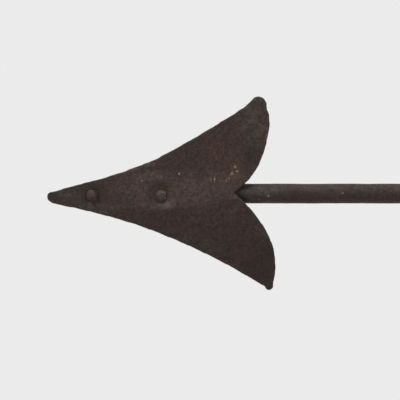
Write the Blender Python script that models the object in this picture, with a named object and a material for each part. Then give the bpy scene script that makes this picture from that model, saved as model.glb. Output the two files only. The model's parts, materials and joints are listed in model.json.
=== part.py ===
"""A wrought-iron arrow weather vane: a riveted sheet-iron arrow that turns on a braced mast.

Frame: +Z up, the mast stands on the Z axis and the base plate's underside is z = 0.
The arrow lies along X, points to -X, and its sheet-iron faces look to -Y.
Every dimension below is in millimetres; the meshes are written in metres.
"""

import math

import bmesh
import bpy
from mathutils import Matrix, Vector

MM = 0.001
GAP = 0.3  # clearance kept between two pieces that touch

# Driving dimensions of the arrow
ARROW_HEIGHT = 520.0  # centre line of the arrow shaft above the base
TIP_X = -390.0  # point of the arrow
SHAFT_RADIUS = 6.35  # half-inch round bar
BLADE_HALF = 2.5  # half thickness of the shaft where it is hammered flat
SHEET = 1.6  # thickness of the sheet iron
TAIL_X = 110.0  # front end of the tail sheet
TAIL_END_X = 273.0  # rear end of the shaft, behind the tail sheet

# The formed arrowhead, measured back from its point
RIDGE_START = 80.0  # where the flattened shaft begins to turn round
RIDGE_END = 118.0
RIDGE_TOP = 15.0  # the sheet leans back from its crease up to this height
RIDGE_LEAN = 0.20  # slope of that part
CREASE_Z = -9.6  # height of the crease under the ridge
CREASE_RISE = 8.8  # how far the crease rises to the notch
LOWER_BEND = 0.18  # slope of the lower barb under the crease
BARB_SWEEP = 2.0  # how far each barb's tip bends back beyond its slope
BARB_REACH = 53.0  # from the crease to the lower barb's tip
HEAD_RIVETS = ((29.5, -1.4), (74.3, -2.2))  # (back from the point, above the centre line)
HEAD_RIVET_LIFTS = (0.0, 1.2)  # how far the sheet stands off the shaft at each rivet
DIMPLE = (5.5, 11.0)  # radius of the flat seat hammered round a rivet, and of the dimple round it
TAIL_RIVETS = (126.0, 186.0, 246.0)  # x of each tail rivet

RIVET_RADIUS = 2.4
RIVET_HEAD_RADIUS = 4.1
RIVET_HEAD_HEIGHT = 2.3
PEEN_RADIUS = 3.9  # the hammered end behind
PEEN_HEIGHT = 1.8
FOOT_RIVET_HEAD = 4.6
FOOT_RIVET_HEIGHT = 2.8

# Hub and bearing, measured down from the arrow's centre line
SLEEVE_RADIUS = 12.5
SLEEVE_BOTTOM = 95.0
SLEEVE_BORE = 6.5
SPINDLE_RADIUS = 6.0
GROOVE_RADIUS = 4.7
BALL_RADIUS = 5.0
BORE_TOP = 12.0
BUSH_BORE = 6.4
BUSH_RADIUS = 9.0
BUSH_DEPTH = 18.0
BUSH_FLANGE = 2.4
BEAD = 2.5  # how far a turned bead stands out of a sleeve
TEE_RADIUS = 11.0
TEE_HALF = 28.0
TEE_SCREW_X = 17.4
BOSS_TOP = 18.0
TENON = 8.0
TENON_RADIUS = 4.0
FINIAL_BALL = 11.0
FINIAL_HEIGHT = 71.0
KEEPER_DEPTH = 58.0  # the keeper screw and the spindle groove it runs in

# Mast and base
MAST_RADIUS = 8.0
MAST_SHOULDER = 101.0  # below the arrow: where the mast is turned down to the spindle
COLLAR_RADIUS = 15.5
BASE_HALF = 90.0
BASE_THICK = 6.0
BASE_CORNER = 12.0
BASE_HOLE_RADIUS = 4.5
BASE_HOLE_AT = 74.0
SOCKET_RADIUS = 14.0
SOCKET_FLANGE = 23.0
SOCKET_TOP = 66.0
SOCKET_SCREW_Z = 50.0
BRACE_WIDTH = 16.0
BRACE_THICK = 4.0
BRACE_FOOT = 85.0  # outer end of each brace's foot from the mast's axis
BRACE_BEND = 64.0  # where the foot turns up
BRACE_RIVET_AT = 75.0
BRACE_TOP_Z = 228.0
BRACE_CURL = 9.0
BAND_HALF = 15.0
BAND_HALF_HEIGHT = 13.0
SCREW_RADIUS = 2.5
SCREW_HEAD_HALF = 4.0
SCREW_HEAD_HEIGHT = 4.5

FACING_FRONT = (math.pi / 2, 0, 0)  # turns local +Z to -Y
ALONG_X = (0, math.pi / 2, 0)
QUARTERS = {"right": 0.0, "back": math.pi / 2, "left": math.pi, "front": -math.pi / 2}

IRON = ("wrought_iron", (0.052, 0.036, 0.031), 0.72, 0.35)
SHEET_IRON = ("sheet_iron", (0.056, 0.037, 0.033), 0.74, 0.35)
BRONZE = ("bronze", (0.30, 0.17, 0.07), 0.45, 1.0)
STEEL = ("bearing_steel", (0.45, 0.45, 0.46), 0.25, 1.0)


def material(name, colour, roughness, metallic):
    """The material of this name, made on first use."""
    found = bpy.data.materials.get(name)
    if found:
        return found
    made = bpy.data.materials.new(name)
    made.use_nodes = True
    shader = made.node_tree.nodes["Principled BSDF"]
    shader.inputs["Base Color"].default_value = (*colour, 1.0)
    shader.inputs["Roughness"].default_value = roughness
    shader.inputs["Metallic"].default_value = metallic
    return made


def place(name, bm, finish, parent=None, location=(0, 0, 0), rotation=None):
    """Turns a bmesh in millimetres into a named object, placed by location and rotation."""
    bmesh.ops.recalc_face_normals(bm, faces=bm.faces)
    bmesh.ops.scale(bm, vec=(MM, MM, MM), verts=bm.verts)
    mesh = bpy.data.meshes.new(name)
    bm.to_mesh(mesh)
    bm.free()
    mesh.shade_smooth()
    mesh.set_sharp_from_angle(angle=math.radians(35))
    mesh.materials.append(material(*finish))
    obj = bpy.data.objects.new(name, mesh)
    bpy.context.scene.collection.objects.link(obj)
    obj.location = Vector(location) * MM
    if rotation is not None:
        obj.rotation_euler = rotation
    if parent is not None:
        obj.parent = parent
        obj.matrix_parent_inverse = Matrix.Translation(-parent.location)
    return obj


def turned(profile, sides=20):
    """A body of revolution about Z from (radius, height) points; a closed loop of points makes a ring."""
    bm = bmesh.new()
    rings = []
    for radius, height in profile:
        if radius < 1e-6:
            rings.append([bm.verts.new((0, 0, height))] * sides)
            continue
        angles = (2 * math.pi * (k + 0.5) / sides for k in range(sides))
        rings.append([bm.verts.new((radius * math.cos(a), radius * math.sin(a), height)) for a in angles])
    solid = profile[0][0] < 1e-6 and profile[-1][0] < 1e-6
    pairs = zip(rings, rings[1:]) if solid else zip(rings, rings[1:] + rings[:1])
    for low, high in pairs:
        for k in range(sides):
            corners = [low[k], low[(k + 1) % sides], high[(k + 1) % sides], high[k]]
            bm.faces.new(list(dict.fromkeys(corners)))
    return bm


def block(size, centre=(0, 0, 0), corner=0.0):
    """A rectangular block of this size; its four upright edges can be rounded."""
    bm = bmesh.new()
    bmesh.ops.create_cube(bm, size=1.0)
    bmesh.ops.scale(bm, vec=size, verts=bm.verts)
    if corner:
        upright = [e for e in bm.edges if abs(e.verts[0].co.z - e.verts[1].co.z) > size[2] / 2]
        bmesh.ops.bevel(bm, geom=upright, offset=corner, segments=4, profile=0.5, affect="EDGES")
    bmesh.ops.translate(bm, vec=centre, verts=bm.verts)
    return bm


def lofted(rings):
    """A solid through rings of points that all have the same count, with flat ends."""
    bm = bmesh.new()
    made = [[bm.verts.new(p) for p in ring] for ring in rings]
    count = len(made[0])
    for first, second in zip(made, made[1:]):
        for k in range(count):
            nxt = (k + 1) % count
            bm.faces.new([first[k], first[nxt], second[nxt], second[k]])
    bm.faces.new(made[0])
    bm.faces.new(made[-1])
    return bm


def cutter(name, bm, location=(0, 0, 0), rotation=None):
    """A hidden body that a Boolean takes away."""
    obj = place(name, bm, IRON, location=location, rotation=rotation)
    obj.hide_render = True
    obj.display_type = "WIRE"
    return obj


def boolean(obj, other, operation="DIFFERENCE"):
    modifier = obj.modifiers.new(other.name, "BOOLEAN")
    modifier.object = other
    modifier.operation = operation
    modifier.solver = "EXACT"


def drill(obj, radius, length, location, rotation=None, sides=12):
    """Bores a round hole of this radius, centred on location, along the rotated Z axis."""
    profile = [(0, -length / 2), (radius, -length / 2), (radius, length / 2), (0, length / 2)]
    name = f"cut_{obj.name}_{len(obj.modifiers)}"
    boolean(obj, cutter(name, turned(profile, sides), location, rotation))


def smooth_step(low, high, value):
    t = min(max((value - low) / (high - low), 0.0), 1.0)
    return t * t * (3 - 2 * t)


def arc(start, via, end, steps):
    """Points after start on the circle through three points, up to and with end."""
    (ax, ay), (bx, by), (cx, cy) = start, via, end
    d = 2 * (ax * (by - cy) + bx * (cy - ay) + cx * (ay - by))
    a2, b2, c2 = ax * ax + ay * ay, bx * bx + by * by, cx * cx + cy * cy
    ux = (a2 * (by - cy) + b2 * (cy - ay) + c2 * (ay - by)) / d
    uy = (a2 * (cx - bx) + b2 * (ax - cx) + c2 * (bx - ax)) / d
    radius = math.hypot(ax - ux, ay - uy)
    first, middle, last = (math.atan2(y - uy, x - ux) for x, y in (start, via, end))
    turn = 2 * math.pi
    sweep = (last - first) % turn
    if (middle - first) % turn > sweep:
        sweep -= turn
    angles = (first + sweep * k / steps for k in range(1, steps + 1))
    return [(ux + radius * math.cos(a), uy + radius * math.sin(a)) for a in angles]


def path(start, *moves):
    """Points along straight moves, given as a point, and arcs, given as (via, end, steps)."""
    points = [start]
    for move in moves:
        points += arc(points[-1], *move) if len(move) == 3 else [move]
    return points


# Hand-cut outlines, x back from the sheet's front end and z above the shaft's centre line
HEAD_OUTLINE = path(
    (1.9, -5.1),
    ((0.0, -2.2), (3.4, 1.0), 4),  # blunt point
    ((18.0, 5.1), (34.0, 9.25), 3),  # upper leading edge
    ((53.0, 15.4), (71.7, 22.7), 4),
    ((100.0, 38.6), (128.4, 56.2), 6),
    (135.3, 62.7),
    ((139.9, 63.1), (143.3, 57.4), 4),  # upper barb tip
    ((145.1, 45.5), (142.3, 30.8), 5),
    ((138.3, 19.2), (131.3, 9.0), 4),  # trailing edge down to the notch
    (121.9, 0.2),
    ((133.4, -10.9), (145.0, -28.3), 6),
    ((149.1, -45.5), (147.6, -59.8), 5),
    ((145.9, -63.2), (142.4, -61.1), 3),  # lower barb tip
    ((102.0, -38.45), (61.8, -21.4), 7),  # lower leading edge
    ((30.0, -12.15), (4.3, -6.6), 5),
)
TAIL_OUTLINE = path(
    (2.5, -9.0),
    ((0.0, 0.0), (2.5, 9.0), 4),  # rounded front
    ((60.0, 25.0), (118.0, 58.0), 7),  # upper leading edge, hollow and then full
    ((154.0, 77.9), (194.0, 87.0), 5),
    ((203.5, 86.0), (207.5, 77.0), 4),  # upper tip
    ((203.0, 40.0), (164.0, 0.0), 9),  # trailing edge down to the notch
    ((203.0, -40.0), (207.5, -77.0), 9),
    ((203.5, -86.0), (194.0, -87.0), 4),
    ((154.0, -77.9), (118.0, -58.0), 5),
    ((60.0, -25.0), (2.5, -9.0), 7),
)


def ridge_rise(back):
    """How far the shaft's front stands out beyond the flattened blade."""
    return (SHAFT_RADIUS - BLADE_HALF) * smooth_step(RIDGE_START, RIDGE_END, back)


def crease_height(back):
    """Height of the crease under the ridge: level at first, and rising to the notch."""
    return CREASE_Z + CREASE_RISE * smooth_step(97.0, 124.0, back)


def head_depth(back, z):
    """Distance of the arrowhead's middle surface in front of the shaft's centre plane."""
    flat = BLADE_HALF + GAP + SHEET / 2
    below = max(crease_height(back) - z, 0.0)
    above = max(z - RIDGE_TOP, 0.0)
    lean = RIDGE_LEAN * smooth_step(24.0, 72.0, back) + 0.05 * smooth_step(97.0, 122.0, back)
    ridge = lean * (max(RIDGE_TOP - z, 0.0) - below)
    lower = smooth_step(22.0, 46.0, back) * (LOWER_BEND * below + BARB_SWEEP * (below / BARB_REACH) ** 2)
    upper = 0.015 * above + BARB_SWEEP * (above / BARB_REACH) ** 2
    lip = 0.8 * smooth_step(108.0, 122.0, back) * math.exp(-((z / 12.0) ** 2))
    depth = flat + ridge - lower - upper + lip
    for (at, height), lift in zip(HEAD_RIVETS, HEAD_RIVET_LIFTS):
        away = math.hypot(back - at, z - height)
        depth += (flat + lift - depth) * (1 - smooth_step(*DIMPLE, away))
    return depth


def tail_depth(back, z):
    """The tail sheet lies flat on the blade and bows a little towards its upper and lower edges."""
    return BLADE_HALF + GAP + SHEET / 2 - 3.0 * (max(abs(z) - 12.0, 0.0) / 76.0) ** 2


def formed_sheet(name, points, depth, x_lines, z_lines, parent, start_x):
    """Sheet iron cut to an outline, divided along x_lines and z_lines, and bent to a depth."""
    bm = bmesh.new()
    closed = points[:-1] if math.dist(points[0], points[-1]) < 1e-3 else points
    bm.faces.new([bm.verts.new((x, 0, z)) for x, z in closed])
    lines = [((x, 0, 0), (1, 0, 0)) for x in x_lines] + [((0, 0, z), (0, 0, 1)) for z in z_lines]
    for point, normal in lines:
        geometry = bm.verts[:] + bm.edges[:] + bm.faces[:]
        bmesh.ops.bisect_plane(bm, geom=geometry, dist=1e-4, plane_co=point, plane_no=normal)
    for vert in bm.verts:
        vert.co.y = -depth(vert.co.x, vert.co.z)
    bmesh.ops.triangulate(bm, faces=bm.faces)
    obj = place(name, bm, SHEET_IRON, parent, (start_x, 0, ARROW_HEIGHT))
    shell = obj.modifiers.new("thickness", "SOLIDIFY")
    shell.thickness = SHEET * MM
    shell.offset = 0.0
    shell.use_even_offset = True
    return obj


def shaft_section(x):
    """(half thickness, half height, squareness) of the arrow shaft at x."""
    back = x - TIP_X
    if back < RIDGE_END:
        rise = ridge_rise(back)
        taper = smooth_step(0.0, RIDGE_START * 0.8, back)
        half_height = 1.8 + 7.7 * taper
    else:
        rise = (SHAFT_RADIUS - BLADE_HALF) * (1 - smooth_step(TAIL_X - 34.0, TAIL_X + 2.0, x))
        half_height = 9.5 - 4.0 * smooth_step(TAIL_END_X - 25.0, TAIL_END_X, x)
    share = rise / (SHAFT_RADIUS - BLADE_HALF)
    half_height += (SHAFT_RADIUS - half_height) * share
    point = 0.55 + 0.45 * smooth_step(0.0, 20.0, back)
    return (BLADE_HALF * point + rise, half_height, 5.0 - 3.0 * share)


def shaft_ring(x, sides=20):
    """The shaft's rounded-rectangle section at x; it sags a little at the point, as the head does."""
    half_thick, half_height, power = shaft_section(x)
    drop = 1.6 * (1 - smooth_step(0.0, RIDGE_END, x - TIP_X))
    ring = []
    for k in range(sides):
        angle = 2 * math.pi * (k + 0.5) / sides
        c, s = math.cos(angle), math.sin(angle)
        y = half_thick * math.copysign(abs(c) ** (2 / power), c)
        z = half_height * math.copysign(abs(s) ** (2 / power), s)
        ring.append((x, y, z - drop))
    return ring


def arrow_shaft(parent):
    """Round bar, hammered flat behind the head and behind the tail, with holes for the rivets."""
    stations = [TIP_X + back for back in (5, 12, 20, 34, 50, 66, 80, 87, 94, 99, 104, 111, 118)]
    stations += [TAIL_X + step for step in (-34, -25, -18, -14, -8, 2, 60, 110)]
    stations += [TAIL_END_X + step for step in (-25, -14, -6, -2, 0)]
    bm = lofted([shaft_ring(x) for x in stations])
    shaft = place("arrow_shaft", bm, IRON, parent, (0, 0, ARROW_HEIGHT))
    holes = [(TIP_X + back, z) for back, z in HEAD_RIVETS] + [(x, 0.0) for x in TAIL_RIVETS]
    for x, z in holes:
        drill(shaft, RIVET_RADIUS + GAP, 20.0, (x, 0, ARROW_HEIGHT + z), FACING_FRONT)


def arrowhead_plate(parent):
    x_lines = (24, 34, 42, 50, 58, 64, 70, 78.5, 84, 90, 97, 104, 109, 113, 118, 124, 134)
    z_lines = (-40, -26, -16, -12, -9.6, -8, -6.2, -3, 0, 2.4, 5, 9, 12, 15, 20, 28, 40)
    plate = formed_sheet("arrowhead_plate", HEAD_OUTLINE, head_depth, x_lines, z_lines, parent, TIP_X)
    for back, z in HEAD_RIVETS:
        drill(plate, RIVET_RADIUS + GAP, 40.0, (TIP_X + back, 0, ARROW_HEIGHT + z), FACING_FRONT)


def tail_plate(parent):
    x_lines = (20, 50, 80, 110, 140, 164, 185)
    z_lines = (-70, -50, -30, -12, 12, 30, 50, 70)
    plate = formed_sheet("tail_plate", TAIL_OUTLINE, tail_depth, x_lines, z_lines, parent, TAIL_X)
    for x in TAIL_RIVETS:
        drill(plate, RIVET_RADIUS + GAP, 40.0, (x, 0, ARROW_HEIGHT), FACING_FRONT)


def rivet(name, x, z, parent, lift=0.0):
    """A domed head in front, a shank through sheet and shaft, and a peened end behind."""
    front = BLADE_HALF + GAP + SHEET + GAP + lift
    back = -(BLADE_HALF + GAP)
    dome = RIVET_HEAD_RADIUS * math.sqrt(0.5), front + RIVET_HEAD_HEIGHT * math.sqrt(0.5)
    profile = path(
        (0, back - PEEN_HEIGHT),
        ((PEEN_RADIUS * 0.8, back - PEEN_HEIGHT * 0.6), (PEEN_RADIUS, back), 3),
        (RIVET_RADIUS, back),
        (RIVET_RADIUS, front),
        (RIVET_HEAD_RADIUS, front),
        (dome, (0, front + RIVET_HEAD_HEIGHT), 3),
    )
    place(name, turned(profile, 12), IRON, parent, (x, 0, ARROW_HEIGHT + z), FACING_FRONT)


def rivets(parent):
    for name, (back, z), lift in zip(("head_rivet_front", "head_rivet_rear"), HEAD_RIVETS, HEAD_RIVET_LIFTS):
        rivet(name, TIP_X + back, z, parent, lift)
    for name, x in zip(("tail_rivet_front", "tail_rivet_middle", "tail_rivet_rear"), TAIL_RIVETS):
        rivet(name, x, 0.0, parent)


def square_screw(name, reach, location, rotation, parent=None):
    """A square-headed screw: its head stands on local z = 0 and its point is at -reach."""
    side = 2 * SCREW_HEAD_HALF
    head = block((side, side, SCREW_HEAD_HEIGHT), (0, 0, SCREW_HEAD_HEIGHT / 2))
    shank = path(
        (0, -reach),
        (SCREW_RADIUS * 0.6, -reach),
        (SCREW_RADIUS, 1.0 - reach),
        (SCREW_RADIUS, SCREW_HEAD_HEIGHT / 2),
        (0, SCREW_HEAD_HEIGHT / 2),
    )
    screw = place(name, head, IRON, parent, location, rotation)
    boolean(screw, cutter(f"shank_{name}", turned(shank, 12), location, rotation), "UNION")


def hub_tee(parent):
    """The forged tee: an upright sleeve over the spindle, and a cross sleeve that holds the shaft."""
    centre = (0, 0, ARROW_HEIGHT)
    low = -SLEEVE_BOTTOM
    bead = SLEEVE_RADIUS + BEAD
    sleeve = path(
        (0, low),
        (bead - 0.8, low),
        ((bead, low + 3.5), (bead - 0.8, low + 7), 3),
        (SLEEVE_RADIUS, low + 8),
        (SLEEVE_RADIUS, -34),
        ((bead - 0.4, -29.5), (SLEEVE_RADIUS, -25), 4),
        (SLEEVE_RADIUS, BOSS_TOP - 4),
        (SLEEVE_RADIUS - 1.5, BOSS_TOP),
        (0, BOSS_TOP),
    )
    hub = place("hub_tee", turned(sleeve, 20), IRON, parent, centre)
    end_bead = TEE_RADIUS + BEAD - 0.8
    cross = path(
        (0, -TEE_HALF),
        (end_bead - 1, -TEE_HALF),
        ((end_bead, -TEE_HALF + 2.5), (TEE_RADIUS, -TEE_HALF + 5.5), 3),
        (TEE_RADIUS, TEE_HALF - 5.5),
        ((end_bead, TEE_HALF - 2.5), (end_bead - 1, TEE_HALF), 3),
        (0, TEE_HALF),
    )
    boolean(hub, cutter("hub_cross_sleeve", turned(cross, 20), centre, ALONG_X), "UNION")
    drill(hub, SHAFT_RADIUS + GAP, 2 * TEE_HALF + 10, centre, ALONG_X, 20)
    bore = SLEEVE_BOTTOM + 5 - BORE_TOP
    drill(hub, SLEEVE_BORE, bore, (0, 0, ARROW_HEIGHT - BORE_TOP - bore / 2), None, 20)
    drill(hub, BUSH_RADIUS + GAP, 2 * BUSH_DEPTH, (0, 0, ARROW_HEIGHT + low), None, 20)
    tenon_hole = ARROW_HEIGHT + BOSS_TOP - TENON - 2 * GAP
    drill(hub, TENON_RADIUS + GAP, 20, (0, 0, tenon_hole + 10), None, 16)
    for x in (-TEE_SCREW_X, TEE_SCREW_X):
        drill(hub, SCREW_RADIUS + GAP, 12, (x, 0, ARROW_HEIGHT + TEE_RADIUS))
    drill(hub, SCREW_RADIUS + GAP, 14, (0, -SLEEVE_RADIUS, ARROW_HEIGHT - KEEPER_DEPTH), FACING_FRONT)


def hub_bush(parent):
    """The bronze bush: a flanged sleeve in the hub's mouth, which runs on the spindle."""
    seat = -SLEEVE_BOTTOM - GAP
    top = seat + BUSH_DEPTH - 1.0
    flange = SLEEVE_RADIUS + 0.5
    bush = path(
        (BUSH_BORE, seat - BUSH_FLANGE),
        (flange, seat - BUSH_FLANGE),
        (flange, seat),
        (BUSH_RADIUS, seat),
        (BUSH_RADIUS, top),
        (BUSH_BORE, top),
    )
    place("hub_bush", turned(bush, 20), BRONZE, parent, (0, 0, ARROW_HEIGHT))


def finial(parent):
    """A turned ball and spire, whose tenon is driven into the top of the hub."""
    top = BOSS_TOP + GAP
    profile = path(
        (0, top - TENON),
        (TENON_RADIUS, top - TENON),
        (TENON_RADIUS, top),
        (10.2, top),
        ((10.9, top + 1.5), (10.2, top + 3), 2),
        ((6.2, top + 5), (4.8, top + 9.5), 3),  # cove under the ball
        ((FINIAL_BALL, top + 21), (4.2, top + 33), 8),
        ((5.8, top + 36), (3.8, top + 39), 3),  # bead above the ball
        ((1.9, top + 54), (0, top + FINIAL_HEIGHT), 4),
    )
    place("finial", turned(profile, 16), IRON, parent, (0, 0, ARROW_HEIGHT))


def hub_screws(parent):
    """Two screws that grip the shaft, and the keeper, whose point runs in the spindle's groove."""
    seat = TEE_RADIUS + GAP
    for name, x in (("shaft_screw_front", -TEE_SCREW_X), ("shaft_screw_rear", TEE_SCREW_X)):
        square_screw(name, seat - SHAFT_RADIUS - GAP, (x, 0, ARROW_HEIGHT + seat), (0, 0, 0), parent)
    seat = SLEEVE_RADIUS + GAP
    reach = seat - GROOVE_RADIUS - 0.5
    square_screw("keeper_screw", reach, (0, -seat, ARROW_HEIGHT - KEEPER_DEPTH), FACING_FRONT, parent)


def thrust_ball():
    """The loose steel ball that carries the arrow on the spindle's tip."""
    profile = path((0, -BALL_RADIUS), ((BALL_RADIUS, 0), (0, BALL_RADIUS), 8))
    centre = ARROW_HEIGHT - BORE_TOP - GAP - BALL_RADIUS
    place("thrust_ball", turned(profile, 14), STEEL, None, (0, 0, centre))


def mast():
    """Round bar with a turned spindle: a shoulder, a groove for the keeper screw and a cupped tip."""
    foot = BASE_THICK + GAP
    rim = ARROW_HEIGHT - BORE_TOP - GAP - 2 * BALL_RADIUS + 1.0
    cup = 1.0 + GAP  # how deep the ball's seat is sunk below the rim
    groove = ARROW_HEIGHT - KEEPER_DEPTH
    shoulder = ARROW_HEIGHT - MAST_SHOULDER
    profile = path(
        (0, foot),
        (MAST_RADIUS - 1, foot),
        (MAST_RADIUS, foot + 1.5),
        (MAST_RADIUS, shoulder - 1.5),
        (MAST_RADIUS - 1.5, shoulder),
        (SPINDLE_RADIUS, shoulder),
        (SPINDLE_RADIUS, groove - 4),
        (GROOVE_RADIUS, groove - 3),
        (GROOVE_RADIUS, groove + 3),
        (SPINDLE_RADIUS, groove + 4),
        (SPINDLE_RADIUS, rim - 1),
        (SPINDLE_RADIUS - 1, rim),
        (3.4, rim),
        ((1.75, rim - cup * 0.76), (0, rim - cup), 3),
    )
    place("mast", turned(profile, 20), IRON)


def stop_collar():
    """A rounded collar below the hub, held on the mast by a screw."""
    middle = ARROW_HEIGHT - MAST_SHOULDER - 11.0
    inner = MAST_RADIUS + GAP
    profile = path(
        (inner, middle - 8),
        (inner + 4, middle - 8),
        ((COLLAR_RADIUS, middle), (inner + 4, middle + 8), 6),
        (inner, middle + 8),
    )
    ring = place("stop_collar", turned(profile, 24), IRON)
    drill(ring, SCREW_RADIUS + GAP, 14, (0, -inner - 5, middle), FACING_FRONT)
    seat = COLLAR_RADIUS + GAP
    square_screw("stop_collar_screw", seat - inner, (0, -seat, middle), FACING_FRONT)


def brace_band():
    """The square band round the mast that the four braces are screwed to."""
    side = 2 * BAND_HALF
    band = place("brace_band", block((side, side, 2 * BAND_HALF_HEIGHT), (0, 0, BRACE_TOP_Z)), IRON)
    drill(band, MAST_RADIUS + GAP, 60, (0, 0, BRACE_TOP_Z), None, 20)
    for angle in QUARTERS.values():
        spot = Matrix.Rotation(angle, 3, "Z") @ Vector((BAND_HALF - 3, 0, BRACE_TOP_Z))
        drill(band, SCREW_RADIUS + GAP, 12, spot, (0, math.pi / 2, angle))


def brace_path():
    """The middle line of a brace as (distance from the mast, height): foot, ogee and top curl."""
    foot_z = BASE_THICK + GAP + BRACE_THICK / 2
    stem_r = BAND_HALF + GAP + BRACE_THICK / 2
    rise = BRACE_TOP_Z - 18.0 - foot_z
    points = [(BRACE_FOOT, foot_z)]
    for step in range(13):
        angle = math.pi / 2 * step / 12
        reach = BRACE_BEND - (BRACE_BEND - stem_r) * math.sin(angle)
        points.append((reach, foot_z + rise * (1 - math.cos(angle))))
    curl_r, curl_z = stem_r + BRACE_CURL, BRACE_TOP_Z + 16.0
    for step in range(11):
        angle = math.pi - 1.45 * math.pi * step / 10
        radius = BRACE_CURL - 0.26 * step
        points.append((curl_r + radius * math.cos(angle), curl_z + radius * math.sin(angle)))
    return points


def brace_bar():
    """A flat bar swept along the brace path in the XZ plane, its width along Y."""
    points = [Vector(p) for p in brace_path()]
    half = BRACE_WIDTH / 2
    rings = []
    for k, point in enumerate(points):
        ahead = points[min(k + 1, len(points) - 1)] - points[max(k - 1, 0)]
        side = Vector((-ahead.y, ahead.x)).normalized() * BRACE_THICK / 2
        a, b = point + side, point - side
        rings.append([(a.x, -half, a.y), (a.x, half, a.y), (b.x, half, b.y), (b.x, -half, b.y)])
    return lofted(rings)


def foot_rivet():
    """The turned shape of a rivet that holds a brace's foot to the base plate."""
    seat = BASE_THICK + BRACE_THICK + 2 * GAP
    dome = FOOT_RIVET_HEAD * math.sqrt(0.5), seat + FOOT_RIVET_HEIGHT * math.sqrt(0.5)
    profile = path(
        (0, 0.5),
        (RIVET_RADIUS, 0.5),
        (RIVET_RADIUS, seat),
        (FOOT_RIVET_HEAD, seat),
        (dome, (0, seat + FOOT_RIVET_HEIGHT), 3),
    )
    return turned(profile, 12)


def braces():
    """Four braces, each with a rivet through its foot and a screw into the band."""
    seat = BAND_HALF + GAP + BRACE_THICK + GAP
    reach = seat - MAST_RADIUS - 2 * GAP
    for side, angle in QUARTERS.items():
        spin = Matrix.Rotation(angle, 3, "Z")
        outward = (0, math.pi / 2, angle)
        bar = place(f"brace_{side}", brace_bar(), IRON, rotation=(0, 0, angle))
        foot = spin @ Vector((BRACE_RIVET_AT, 0, 0))
        drill(bar, RIVET_RADIUS + GAP, 30, foot)
        drill(bar, SCREW_RADIUS + GAP, 12, spin @ Vector((BAND_HALF + 2, 0, BRACE_TOP_Z)), outward)
        place(f"brace_foot_rivet_{side}", foot_rivet(), IRON, location=foot)
        square_screw(f"brace_screw_{side}", reach, spin @ Vector((seat, 0, BRACE_TOP_Z)), outward)


def base_plate():
    """The square plate, with a hole in each corner and one for each brace's rivet."""
    size = (2 * BASE_HALF, 2 * BASE_HALF, BASE_THICK)
    plate = place("base_plate", block(size, (0, 0, BASE_THICK / 2), BASE_CORNER), IRON)
    for x in (-BASE_HOLE_AT, BASE_HOLE_AT):
        for y in (-BASE_HOLE_AT, BASE_HOLE_AT):
            drill(plate, BASE_HOLE_RADIUS, 20, (x, y, 0), None, 16)
    for angle in QUARTERS.values():
        drill(plate, RIVET_RADIUS + GAP, 20, Matrix.Rotation(angle, 3, "Z") @ Vector((BRACE_RIVET_AT, 0, 0)))


def base_socket():
    """The flanged socket on the base plate, whose two screws grip the foot of the mast."""
    low = BASE_THICK + GAP
    inner = MAST_RADIUS + GAP
    profile = path(
        (inner, low),
        (SOCKET_FLANGE, low),
        (SOCKET_FLANGE, low + 4),
        ((SOCKET_FLANGE - 0.6, low + 5.2), (SOCKET_FLANGE - 2, low + 5.7), 2),
        ((SOCKET_RADIUS + 1.8, low + 7.6), (SOCKET_RADIUS, low + 13), 4),
        (SOCKET_RADIUS, SOCKET_TOP - 6),
        ((SOCKET_RADIUS + 1.8, SOCKET_TOP - 3), (SOCKET_RADIUS, SOCKET_TOP), 4),
        (inner, SOCKET_TOP),
    )
    tube = place("base_socket", turned(profile, 24), IRON)
    seat = SOCKET_RADIUS + GAP
    for side, angle in (("front", -0.75 * math.pi), ("back", 0.25 * math.pi)):
        out = Vector((math.cos(angle), math.sin(angle), 0))
        up = Vector((0, 0, SOCKET_SCREW_Z))
        outward = (0, math.pi / 2, angle)
        drill(tube, SCREW_RADIUS + GAP, 12, out * (SOCKET_RADIUS - 2) + up, outward)
        square_screw(f"socket_screw_{side}", seat - inner, out * seat + up, outward)


def main():
    for obj in list(bpy.data.objects):
        bpy.data.objects.remove(obj)
    vane = bpy.data.objects.new("vane_pivot", None)
    vane.location = (0, 0, ARROW_HEIGHT * MM)
    bpy.context.scene.collection.objects.link(vane)
    for part in (arrow_shaft, arrowhead_plate, tail_plate, rivets, hub_tee, hub_bush, finial, hub_screws):
        part(vane)
    for part in (thrust_ball, mast, stop_collar, brace_band, braces, base_plate, base_socket):
        part()


main()
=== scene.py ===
"""Looks of the arrow weather vane: fine meshes and old-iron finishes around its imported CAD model.

Lengths are in millimetres in the row frame, and meshes are written in metres. The arrow points to -X, and its
sheet-iron faces look to -Y. Sizes that the frame doesn't give repeat those of the CAD model.
"""

import json
import math

import bpy
import numpy as np
from mathutils import Matrix, Vector, geometry, noise


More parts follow.
